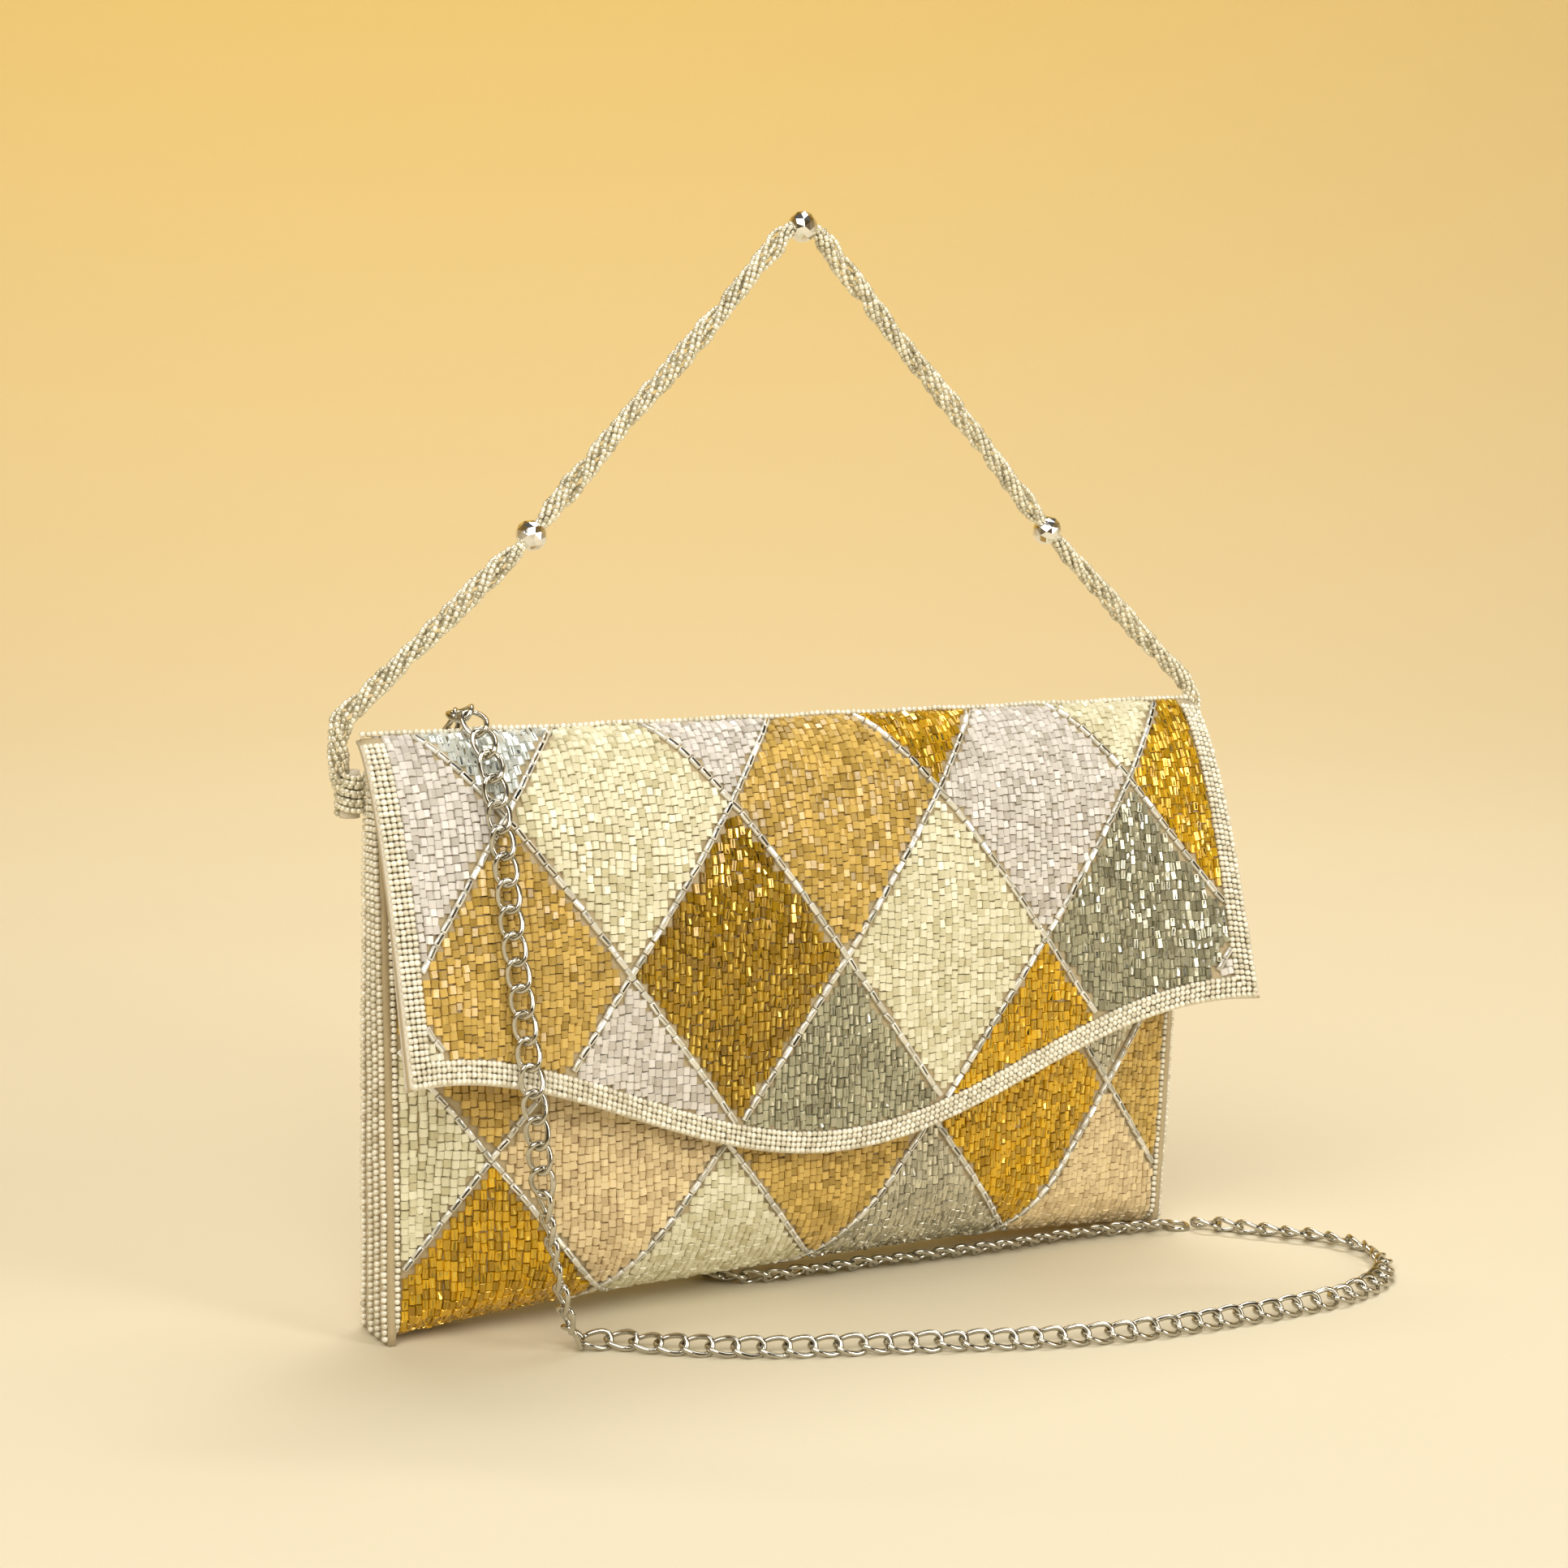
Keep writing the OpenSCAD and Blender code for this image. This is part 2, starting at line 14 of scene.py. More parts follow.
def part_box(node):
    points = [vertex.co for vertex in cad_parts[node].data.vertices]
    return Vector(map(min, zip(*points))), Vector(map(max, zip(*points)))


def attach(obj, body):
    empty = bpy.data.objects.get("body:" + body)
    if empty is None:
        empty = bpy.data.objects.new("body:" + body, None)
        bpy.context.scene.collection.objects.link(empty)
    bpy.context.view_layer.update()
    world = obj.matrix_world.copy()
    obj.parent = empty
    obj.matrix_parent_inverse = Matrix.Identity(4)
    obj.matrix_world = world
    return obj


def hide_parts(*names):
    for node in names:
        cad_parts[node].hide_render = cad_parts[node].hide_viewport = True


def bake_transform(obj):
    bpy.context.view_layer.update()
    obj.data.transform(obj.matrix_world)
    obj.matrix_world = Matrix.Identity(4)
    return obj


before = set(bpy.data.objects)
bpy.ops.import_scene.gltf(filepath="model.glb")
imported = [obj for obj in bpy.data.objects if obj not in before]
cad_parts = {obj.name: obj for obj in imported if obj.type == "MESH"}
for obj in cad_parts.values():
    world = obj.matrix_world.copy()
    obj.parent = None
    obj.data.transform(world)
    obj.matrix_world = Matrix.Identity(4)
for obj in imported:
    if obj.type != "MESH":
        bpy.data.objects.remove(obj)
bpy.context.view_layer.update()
rng = np.random.default_rng(11)
MM = 0.001

# ---- camera

YAW, PITCH, ROLL = (math.radians(a) for a in (29.17, 8.11, 1.10))
EYE = (-0.3593, -0.6256, 0.2373)
LENS = 64.58
AHEAD = np.array([math.sin(YAW), math.cos(YAW), 0.0])
ASIDE = np.array([math.cos(YAW), -math.sin(YAW), 0.0])
ABOVE = np.array([0.0, 0.0, 1.0])


def add_camera():
    forward = AHEAD * math.cos(PITCH) - ABOVE * math.sin(PITCH)
    above = AHEAD * math.sin(PITCH) + ABOVE * math.cos(PITCH)
    right = ASIDE * math.cos(ROLL) + above * math.sin(ROLL)
    up = -ASIDE * math.sin(ROLL) + above * math.cos(ROLL)
    data = bpy.data.cameras.new("camera")
    data.lens = LENS
    data.sensor_width = 36.0
    data.clip_start = 0.01
    camera = bpy.data.objects.new("camera", data)
    bpy.context.scene.collection.objects.link(camera)
    matrix = Matrix([[right[i], up[i], -forward[i], EYE[i]] for i in range(3)] + [[0, 0, 0, 1]])
    camera.matrix_world = matrix
    bpy.context.scene.camera = camera


add_camera()

# ---- small vector helpers


def unit(v):
    return v / np.maximum(np.linalg.norm(v, axis=-1, keepdims=True), 1e-12)


def rows(*values):
    """Points as rows of an array from three broadcastable coordinates."""
    return np.stack(np.broadcast_arrays(*values), axis=-1).astype(float)


def turn(v, axis, angle):
    """Rows of v turned about rows of axis by angle, in radians."""
    angle = np.asarray(angle, float)[..., None]
    along = np.sum(v * axis, axis=-1, keepdims=True) * axis
    return v * np.cos(angle) + np.cross(axis, v) * np.sin(angle) + along * (1 - np.cos(angle))


def all_facing(line, way):
    """The same direction once for each point of a line."""
    return np.tile(np.asarray(way, float), (len(line), 1))


def square_to(v, axis):
    """Unit rows of v, made square to unit rows of axis."""
    return unit(v - axis * np.sum(v * axis, axis=1, keepdims=True))


def run_of(line):
    """The length along a line at each of its points."""
    return np.concatenate([[0], np.cumsum(np.linalg.norm(np.diff(line, axis=0), axis=1))])


def sample(run, values, at):
    """Rows of values, known at each length in run, at other lengths."""
    return np.stack([np.interp(at, run, values[:, i]) for i in range(3)], axis=1)


def heading(run, line, at, reach):
    """Unit directions along a line at some lengths, taken over a reach to either side."""
    ahead = sample(run, line, np.minimum(at + reach, run[-1]))
    return unit(ahead - sample(run, line, np.maximum(at - reach, 0)))


# ---- materials


def new_material(name):
    mat = bpy.data.materials.new(name)
    mat.use_nodes = True
    nodes = mat.node_tree.nodes
    return mat, nodes, mat.node_tree.links, nodes["Principled BSDF"]


def add_noise(nodes, links, scale, detail=2.0):
    where = nodes.new("ShaderNodeTexCoord")
    noise = nodes.new("ShaderNodeTexNoise")
    noise.inputs["Scale"].default_value = scale
    noise.inputs["Detail"].default_value = detail
    links.new(where.outputs["Object"], noise.inputs["Vector"])
    return noise.outputs["Fac"]


def remap(nodes, links, value, low, high, from_low=0.3, from_high=0.7):
    node = nodes.new("ShaderNodeMapRange")
    node.inputs["From Min"].default_value = from_low
    node.inputs["From Max"].default_value = from_high
    node.inputs["To Min"].default_value = low
    node.inputs["To Max"].default_value = high
    links.new(value, node.inputs["Value"])
    return node.outputs["Result"]


def blend_colours(nodes, links, value, low, high):
    node = nodes.new("ShaderNodeMix")
    node.data_type = "RGBA"
    node.inputs["A"].default_value = (*low, 1)
    node.inputs["B"].default_value = (*high, 1)
    links.new(value, node.inputs["Factor"])
    return node.outputs["Result"]


def add_bump(nodes, links, shader, height, strength, distance):
    bump = nodes.new("ShaderNodeBump")
    bump.inputs["Strength"].default_value = strength
    bump.inputs["Distance"].default_value = distance
    links.new(height, bump.inputs["Height"])
    links.new(bump.outputs["Normal"], shader.inputs["Normal"])


def bead_material(name, low, high, rough, metallic=0.0, coat=0.0, sheen=0.0):
    """Glass beads: each bead has its own tone, and its finish varies along it. On the metal lining
    dashes the tone is painted reflection, some dashes deep and some bright.
    """
    mat, nodes, links, shader = new_material(name)
    tone = nodes.new("ShaderNodeAttribute")
    tone.attribute_name = "bead_tone_and_glint"
    colour = blend_colours(nodes, links, tone.outputs["Fac"], low, high)
    links.new(colour, shader.inputs["Base Color"])
    streak = add_noise(nodes, links, 900.0)
    links.new(remap(nodes, links, streak, rough * 0.6, rough * 1.5), shader.inputs["Roughness"])
    shader.inputs["Metallic"].default_value = metallic
    shader.inputs["Coat Weight"].default_value = coat
    shader.inputs["Coat Roughness"].default_value = 0.08
    shader.inputs["Sheen Weight"].default_value = sheen
    return mat


def metal_material(name, low, high, rough):
    mat, nodes, links, shader = new_material(name)
    spots = add_noise(nodes, links, 500.0, 4.0)
    links.new(blend_colours(nodes, links, spots, low, high), shader.inputs["Base Color"])
    links.new(remap(nodes, links, spots, rough * 0.6, rough * 1.6), shader.inputs["Roughness"])
    add_bump(nodes, links, shader, spots, 0.15, 0.0001)
    shader.inputs["Metallic"].default_value = 1.0
    return mat


def cloth_material(name, low, high, rough=0.55, sheen=0.3, weave=1400.0):
    mat, nodes, links, shader = new_material(name)
    patches = add_noise(nodes, links, 60.0, 5.0)
    links.new(blend_colours(nodes, links, patches, low, high), shader.inputs["Base Color"])
    threads = add_noise(nodes, links, weave, 1.0)
    add_bump(nodes, links, shader, threads, 0.5, 0.0002)
    shader.inputs["Roughness"].default_value = rough
    shader.inputs["Sheen Weight"].default_value = sheen
    return mat


OPAQUE = {
    "cream": ((0.56, 0.51, 0.30), (0.88, 0.85, 0.65)),
    "ivory": ((0.68, 0.65, 0.46), (0.95, 0.94, 0.82)),
    "sand": ((0.326, 0.201, 0.027), (0.729, 0.504, 0.133)),
    "pearl": ((0.448, 0.408, 0.349), (0.779, 0.743, 0.698)),
    "blush": ((0.528, 0.395, 0.207), (0.883, 0.722, 0.421)),
}
LINED = {
    "gold": ((0.307, 0.166, 0.004), (0.828, 0.497, 0.014), (1.0, 0.76, 0.16)),
    "amber": ((0.184, 0.094, 0.002), (0.485, 0.283, 0.008), (1.0, 0.78, 0.20)),
    "grey": ((0.206, 0.195, 0.122), (0.486, 0.473, 0.330), (0.96, 0.97, 0.86)),
    "opal": ((0.45, 0.48, 0.44), (0.86, 0.90, 0.86), (0.94, 1.0, 0.99)),
    "silver": ((0.32, 0.30, 0.21), (0.68, 0.64, 0.48), (0.98, 0.97, 0.86)),
}
bead_looks = {}
core_looks = {}
for tint, (low, high) in OPAQUE.items():
    finish = 0.32 if tint in ("pearl", "blush") else 0.27
    bead_looks[tint] = bead_material("beads_" + tint, low, high, finish, coat=0.28, sheen=0.1)
for tint, (low, high, core) in LINED.items():
    bead_looks[tint] = bead_material("beads_" + tint, low, high, 0.18, metallic=0.35, coat=0.55)
    # The lining is real bright metal; each dash's colour runs from this deep colour up to the
    # bright lining, and the deeper dashes are painted reflection of unlit surroundings.
    core_in_unlit_reflection = tuple(0.22 * c for c in core)
    core_looks[tint] = bead_material("cores_" + tint, core_in_unlit_reflection, core, 0.20, metallic=1.0)
trim_look = bead_material("trim_silver", (0.62, 0.57, 0.42), (0.98, 0.95, 0.82),
    0.16, metallic=0.12, coat=0.7)
strand_look = bead_material("strand_silver", (0.46, 0.42, 0.29), (0.99, 0.95, 0.78),
    0.15, metallic=0.35, coat=0.6)
line_look = bead_material("line_clear", (0.60, 0.58, 0.50), (0.93, 0.92, 0.85),
    0.12, metallic=0.25, coat=0.8)
# The clear bugles' lining dashes run from near-black to white: the lining is real, and the
# near-black dashes are painted reflection of unlit surroundings.
core_looks["line"] = bead_material("cores_line", (0.05, 0.06, 0.05), (0.99, 0.99, 0.96),
    0.10, metallic=1.0)
# The backing cloth shows only in the gaps between the beads. Its tan is darker than the real
# cloth's pale cream: painted shade that falls between the beads.
shaded_cloth_look = cloth_material("backing_cloth_painted_shade", (0.42, 0.33, 0.18), (0.54, 0.44, 0.27))
edge_look = cloth_material("edge_cloth", (0.66, 0.60, 0.48), (0.78, 0.72, 0.60))
lining_look = cloth_material("lining_satin", (0.68, 0.60, 0.46), (0.80, 0.72, 0.58),
    rough=0.38, sheen=0.5, weave=2200.0)
board_look = cloth_material("board_card", (0.38, 0.33, 0.26), (0.48, 0.43, 0.35),
    rough=0.9, sheen=0.0, weave=900.0)
hardware_look = metal_material("hardware_metal", (0.70, 0.67, 0.61), (0.88, 0.86, 0.81), 0.14)
chain_look = metal_material("chain_metal", (0.40, 0.385, 0.33), (0.68, 0.65, 0.57), 0.12)
ball_look = metal_material("ball_metal", (0.80, 0.80, 0.79), (0.93, 0.93, 0.92), 0.06)

# ---- meshes


def finish_piece(name, mesh, look, body, replaced=()):
    mesh.materials.append(look)
    obj = bpy.data.objects.new(name, mesh)
    bpy.context.scene.collection.objects.link(obj)
    if body:
        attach(obj, body)
    if replaced:
        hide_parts(*replaced)
    return obj


def mesh_from(name, points, loops, starts, smooth=True):
    """A mesh from points in millimetres and faces given as one run of corners."""
    mesh = bpy.data.meshes.new(name)
    mesh.vertices.add(len(points))
    mesh.vertices.foreach_set("co", (np.asarray(points) * MM).astype(np.float32).ravel())
    mesh.loops.add(len(loops))
    mesh.loops.foreach_set("vertex_index", np.asarray(loops, np.int32))
    mesh.polygons.add(len(starts))
    mesh.polygons.foreach_set("loop_start", np.asarray(starts, np.int32))
    mesh.update(calc_edges=True)
    mesh.validate()
    mesh.polygons.foreach_set("use_smooth", np.full(len(mesh.polygons), smooth))
    return mesh


def mesh_of_faces(name, points, faces, smooth=True):
    loops = [i for f in faces for i in f]
    starts = np.cumsum([0] + [len(f) for f in faces])[:-1]
    return mesh_from(name, points, loops, starts, smooth)


def band_faces(rings, sides):
    """Quads between closed rings of points that each have as many sides."""
    faces = []
    for r in range(rings - 1):
        for k in range(sides):
            a, b = r * sides + k, r * sides + (k + 1) % sides
            faces.append((a, b, b + sides, a + sides))
    return faces


def end_faces(rings, sides):
    """The faces that close a row of rings at both ends."""
    return [tuple(range(sides - 1, -1, -1)), tuple(range((rings - 1) * sides, rings * sides))]


def round_section(sides):
    """A regular outline of unit radius, as a list of (x, y)."""
    angles = [2 * math.pi * (k + 0.5) / sides for k in range(sides)]
    return [(math.cos(a), math.sin(a)) for a in angles]


def bead_template(section, rings):
    """A bead: section is its outline across, and rings its (place along, share of width)."""
    sides = len(section)
    along, wide, tall = [], [], []
    for place, share in rings:
        for x, y in section:
            along.append(place)
            wide.append(share * x)
            tall.append(share * y)
    faces = band_faces(len(rings), sides) + end_faces(len(rings), sides)
    return np.array(along), np.array(wide), np.array(tall), faces


CUT_SECTION = [(1, 0.45), (0.68, 0.90), (-0.68, 0.90), (-1, 0.45),
    (-1, -0.45), (-0.68, -0.90), (0.68, -0.90), (1, -0.45)]
TUBE_BEAD = bead_template(CUT_SECTION, [(-1, 0.84), (-0.92, 1), (0.92, 1), (1, 0.84)])
SEED_RINGS = [(-1, 0.45), (-0.72, 0.86), (0, 1), (0.72, 0.86), (1, 0.45)]
SEED_BEAD = bead_template(round_section(8), SEED_RINGS)
CORE_DASH = bead_template(round_section(4), [(-1, 1), (1, 1)])


def bead_mesh(name, template, centre, axis, up, length, radius, smooth=True):
    """Many beads in one mesh; axis and up are unit rows, length and radius a number or one each."""
    along, wide, tall, faces = template
    count, corners = len(centre), len(along)
    sideways = np.cross(axis, up)
    half = np.broadcast_to(np.asarray(length, float) / 2, (count,))
    radius = np.broadcast_to(np.asarray(radius, float), (count,))
    points = (
        centre[:, None, :]
        + axis[:, None, :] * (along[None, :] * half[:, None])[..., None]
        + sideways[:, None, :] * (wide * radius[:, None])[..., None]
        + up[:, None, :] * (tall * radius[:, None])[..., None]
    ).reshape(-1, 3)
    one = np.array([i for f in faces for i in f])
    sizes = np.array([len(f) for f in faces])
    loops = (one[None, :] + corners * np.arange(count)[:, None]).ravel()
    starts = np.cumsum(np.concatenate([[0], np.tile(sizes, count)]))[:-1]
    mesh = mesh_from(name, points, loops, starts, smooth)
    # a random tone for each bead; on the lining dashes it is painted reflection, from deep to
    # bright
    tone = rng.beta(1.8, 1.3, count)
    attribute = mesh.attributes.new("bead_tone_and_glint", "FLOAT", "POINT")
    attribute.data.foreach_set("value", np.repeat(tone, corners).astype(np.float32))
    return mesh


def jitter(count, spread):
    """Small random errors, cut off at two and a half times their spread."""
    return np.clip(rng.normal(0, spread, count), -2.5 * spread, 2.5 * spread)


# ---- the purse's surfaces, the same as the CAD's

BASE_W, TOP_W, FOLD_H, MOUTH_H, LEAN = 230.0, 236.0, 150.0, 132.0, 6.0
PUFF = 13.0
ARCH_H, GUSSET_D, GUSSET_TOP_D, GUSSET_T = 5.0, 18.0, 5.0, 2.4
FLAP_W, FLAP_MID_Z, FLAP_CORNER_Z = 248.0, 41.0, 73.0
FLAP_CORNER_OUT, FLAP_MID_OUT = 36.0, 23.0
FOLD_Y, SEAM_Z, ROLL_R = 6.0, 147.0, 1.6
KNEE = 4 / 13  # share of a panel's rows that are on the round at its foot
PANEL_T, BACK_T, BOARD_T, LINING_T, PLY = 1.4, 2.1, 0.8, 0.6, 0.05


def seam_y(z):
    return FOLD_Y + LEAN - LEAN * z / FOLD_H


def seam_half(z):
    return GUSSET_D / 2 - (GUSSET_D - GUSSET_TOP_D) / 2 * (z / SEAM_Z) ** 2


def half_w(z):
    return (BASE_W + (TOP_W - BASE_W) * z / FOLD_H) / 2


def across(u):
    return np.cos(math.pi / 2 * np.minimum(1, np.abs(u)) ** 1.5)


def rise(z):
    low = ((60 - z) / 110) ** 2
    high = ((z - 60) / 90) ** 2
    return np.cos(math.pi / 2 * np.where(z < 60, low, high))


def wall_out(u, z):
    return seam_half(z) + PUFF * across(u) * rise(z)


def body_point(side, top_z, u, v):
    u, v = np.broadcast_arrays(np.asarray(u, float), np.asarray(v, float))
    foot = 0.6 + (ARCH_H - 0.6) * across(u)
    bend = 6 + 20 * across(u)
    z1 = foot + bend
    a = math.pi / 2 * np.clip(v / KNEE, 0, 1)
    z_low = foot + bend * (1 - np.cos(a))
    z_high = z1 + (top_z - z1) * (v - KNEE) / (1 - KNEE)
    low = v <= KNEE
    z = np.where(low, z_low, z_high)
    out = np.where(low, wall_out(u, z1) * np.sin(a), wall_out(u, z_high))
    return rows(u * half_w(z), seam_y(z) + side * out, z)


def flap_point(u, v):
    u, v = np.broadcast_arrays(np.asarray(u, float), np.asarray(v, float))
    mid = (FLAP_MID_Z + FLAP_CORNER_Z) / 2
    end_z = mid - (FLAP_CORNER_Z - mid) * np.cos(math.pi * u)
    end_y = FOLD_Y - FLAP_MID_OUT - (FLAP_CORNER_OUT - FLAP_MID_OUT) * np.abs(u) ** 4
    dy, dz = end_y - FOLD_Y, end_z - (FOLD_H + ROLL_R)
    reach = np.hypot(dy, dz)
    crown = (5 + 8 * across(u)) * np.sin(math.pi * np.clip(v, 0, None) ** 0.6)
    y = FOLD_Y + dy * v + dz / reach * crown
    z = FOLD_H + ROLL_R + dz * v - dy / reach * crown
    return rows(u * FLAP_W / 2, y, z)


class Skin:
    """One beaded surface: u runs across it, v along it, and s is the length along it."""

    def __init__(self, point, half, outward):
        self.point = point
        self.half = half
        self.outward = outward
        self.us = np.linspace(-1, 1, 161)
        self.vs = np.linspace(0, 1, 241)
        grid = point(self.us[:, None], self.vs[None, :])
        step = np.linalg.norm(np.diff(grid, axis=1), axis=2)
        self.arc = np.concatenate([np.zeros((len(self.us), 1)), np.cumsum(step, axis=1)], axis=1)

    def arc_at(self, u):
        place = (np.clip(u, -1, 1) + 1) / 2 * (len(self.us) - 1)
        i = min(int(place), len(self.us) - 2)
        return self.arc[i] + (self.arc[i + 1] - self.arc[i]) * (place - i)

    def v_of(self, u, s):
        u, s = np.broadcast_arrays(np.atleast_1d(u).astype(float), np.atleast_1d(s).astype(float))
        out = np.empty(len(s))
        for value in np.unique(u):
            which = u == value
            out[which] = np.interp(s[which], self.arc_at(value), self.vs)
        return out

    def frame(self, u, v, depth=0.0):
        """Places on the surface, with the direction along it and the direction out of it."""
        e = 0.003
        along = self.point(u, np.minimum(v + e, 1)) - self.point(u, np.maximum(v - e, 0))
        wide = self.point(u + e, v) - self.point(u - e, v)
        normal = unit(np.cross(along, wide)) * self.outward
        along = unit(along)
        return self.point(u, v) - normal * np.asarray(depth)[..., None], along, normal


front = Skin(lambda u, v: body_point(-1, MOUTH_H, u, v), BASE_W / 2, -1)
back = Skin(lambda u, v: body_point(1, SEAM_Z, u, v), BASE_W / 2, 1)
flap = Skin(flap_point, FLAP_W / 2, 1)
for skin, way in ((front, (0, -1, 0)), (back, (0, 1, 0)), (flap, (0, -1, 0))):
    if np.dot(skin.frame(np.array([0.1]), np.array([0.6]))[2][0], way) < 0:
        skin.outward *= -1

# ---- argyle: which colour a place has, and how far it is from the nearest line

ARGYLE_X = 30.65


class Argyle:
    """Diamonds on a surface: s0 is where the middle row lies, half_h half a diamond's height."""

    def __init__(self, s0, half_h, colours, spare):
        self.s0, self.half_h, self.colours, self.spare = s0, half_h, colours, spare
        self.per_mm = math.hypot(1 / ARGYLE_X, 1 / half_h)

    def cell(self, x, s):
        """The colour at each place, and how far the place is from the nearest line."""
        a = x / ARGYLE_X + (s - self.s0) / self.half_h
        b = x / ARGYLE_X - (s - self.s0) / self.half_h
        i, j = np.round(a / 2).astype(int), np.round(b / 2).astype(int)
        gap = np.minimum(1 - np.abs(a - 2 * i), 1 - np.abs(b - 2 * j)) / self.per_mm
        keys = [(int(p + q), int(p - q)) for p, q in zip(i, j)]
        names = [self.colours.get(k, self.spare[(3 * k[0] + k[1]) % len(self.spare)]) for k in keys]
        return np.array(names), gap

    def lines(self, x_max, s_max):
        """Each line as places (x, s), every half millimetre."""
        out = []
        for slope in (1, -1):
            for odd in range(-13, 14, 2):
                x = np.arange(-x_max, x_max, 0.5 * ARGYLE_X * self.per_mm * 0.75)
                s = self.s0 + slope * self.half_h * (odd - x / ARGYLE_X)
                keep = (s > 0) & (s < s_max)
                if keep.sum() > 6:
                    out.append((x[keep], s[keep]))
        return out


# Keys are (column, row) of a diamond's middle in half steps, from the middle column
FLAP_COLOURS = {
    (-3, -1): "opal", (-1, -1): "pearl", (1, -1): "gold", (3, -1): "cream",
    (-4, 0): "pearl", (-2, 0): "cream", (0, 0): "sand", (2, 0): "pearl", (4, 0): "gold",
    (-3, 1): "sand", (-1, 1): "amber", (1, 1): "cream", (3, 1): "grey",
    (-4, 2): "ivory", (-2, 2): "pearl", (0, 2): "grey", (2, 2): "gold", (4, 2): "pearl",
}
FRONT_COLOURS = {
    (-4, 0): "cream", (-2, 0): "blush", (0, 0): "sand", (2, 0): "gold", (4, 0): "sand",
    (-3, -1): "gold", (-1, -1): "cream", (1, -1): "silver", (3, -1): "blush",
    (-3, 1): "sand", (-1, 1): "cream", (1, 1): "pearl", (3, 1): "silver",
    (-4, 2): "pearl", (-2, 2): "gold", (0, 2): "cream", (2, 2): "sand", (4, 2): "cream",
    (-4, -2): "cream", (-2, -2): "sand", (0, -2): "gold", (2, -2): "cream", (4, -2): "silver",
}
BACK_COLOURS = {(-i, j): c for (i, j), c in FRONT_COLOURS.items()}
SPARE = ["cream", "sand", "pearl", "gold", "silver"]
flap_argyle = Argyle(25.7, 41.5, FLAP_COLOURS, SPARE)
front_argyle = Argyle(52.5, 40.0, FRONT_COLOURS, SPARE)
back_argyle = Argyle(52.5, 40.0, BACK_COLOURS, SPARE)

LINE_GAP = 1.40  # bare width to either side of a line
SHORTEST = 0.9  # a bead cut shorter than this by the panel's edge is left out
THREAD_GAP, SLACK = 0.05, 0.09
LENGTH_SPREAD = 0.13
MOST_BEADS = 100
COLUMN = 1.94
# Colours, width of a column, length and radius of the beads
BEAD_CUTS = ((OPAQUE, COLUMN, 2.0, 1.02), (LINED, 1.74, 2.5, 0.88))
BEAD_SINK = 0.66  # depth of a bead's middle under the surface
CORE_LIFT, CORE_R, CORE_SHARE = 0.50, 0.44, 0.84
BUGLE_PITCH, BUGLE_L, BUGLE_R, BUGLE_SINK = 3.75, 3.45, 0.74, 0.12
BUGLE_CORE_LIFT, BUGLE_CORE_R = 0.46, 0.40


def bead_columns(skin, inset_side, s_from, inset_end, column, bead_length):
    """Tube beads strung in columns along the surface, a little uneven as hand work is."""
    width = 2 * (skin.half - inset_side)
    count = int(round(width / column))
    u_all, s_all, l_all = [], [], []
    for k in range(count):
        u = (-width / 2 + (k + 0.5) * width / count) / skin.half
        end = skin.arc_at(u)[-1] - inset_end
        lengths = rng.normal(bead_length, LENGTH_SPREAD, MOST_BEADS)
        lengths = np.clip(lengths, 0.78 * bead_length, 1.2 * bead_length)
        gaps = THREAD_GAP + rng.exponential(SLACK, MOST_BEADS)
        starts = s_from - rng.uniform(0, bead_length) + np.cumsum(lengths + gaps) - lengths - gaps
        low = np.maximum(starts, s_from)
        high = np.minimum(starts + lengths, end)
        keep = high - low > SHORTEST
        u_all.append(np.full(keep.sum(), u))
        s_all.append(0.5 * (low + high)[keep])
        l_all.append((high - low)[keep])
    return np.concatenate(u_all), np.concatenate(s_all), np.concatenate(l_all)


def lay_beads(label, skin, argyle, body, inset_side, s_from, inset_end):
    """The tube beads of one panel, one piece for each colour."""
    for tints, column, bead_length, bead_r in BEAD_CUTS:
        u, s, length = bead_columns(skin, inset_side, s_from, inset_end, column, bead_length)
        v = skin.v_of(u, s)
        x = skin.point(u, v)[:, 0]
        wander = 0.8 * np.sin(s / 15 + x / 37) + 0.4 * np.sin(s / 6.5 - x / 23)
        wander = wander * np.minimum(1, (skin.half - inset_side - np.abs(x)) / 6)
        tint, gap = argyle.cell(x + wander, s)
        keep = (gap > LINE_GAP) & np.isin(tint, list(tints))
        u, v, length, tint, wander = u[keep], v[keep], length[keep], tint[keep], wander[keep]
        u = np.clip(u + (wander + jitter(len(u), 0.09)) / skin.half, -1, 1)
        centre, along, normal = skin.frame(u, v, BEAD_SINK + jitter(len(u), 0.16))
        side = np.cross(along, normal)
        along = turn(along, normal, jitter(len(u), 0.08))
        along = unit(turn(along, side, jitter(len(u), 0.05)))
        up = turn(square_to(normal, along), along, jitter(len(u), 0.22))
        for name in sorted(set(tint)):
            which = tint == name
            here, way, top = centre[which], along[which], up[which]
            piece = f"{label}_{name}"
            radius = bead_r + jitter(which.sum(), 0.05)
            mesh = bead_mesh(piece, TUBE_BEAD, here, way, top, length[which], radius, False)
            finish_piece(piece, mesh, bead_looks[name], body)
            if name in LINED:
                tilt = turn(top, way, jitter(which.sum(), 0.35))
                swing = turn(way, np.cross(way, tilt), jitter(which.sum(), 0.10))
                cores = bead_mesh(f"{piece}_cores", CORE_DASH, here + normal[which] * CORE_LIFT,
                    swing, tilt, length[which] * CORE_SHARE, CORE_R, False)
                finish_piece(f"{piece}_cores", cores, core_looks[name], body)


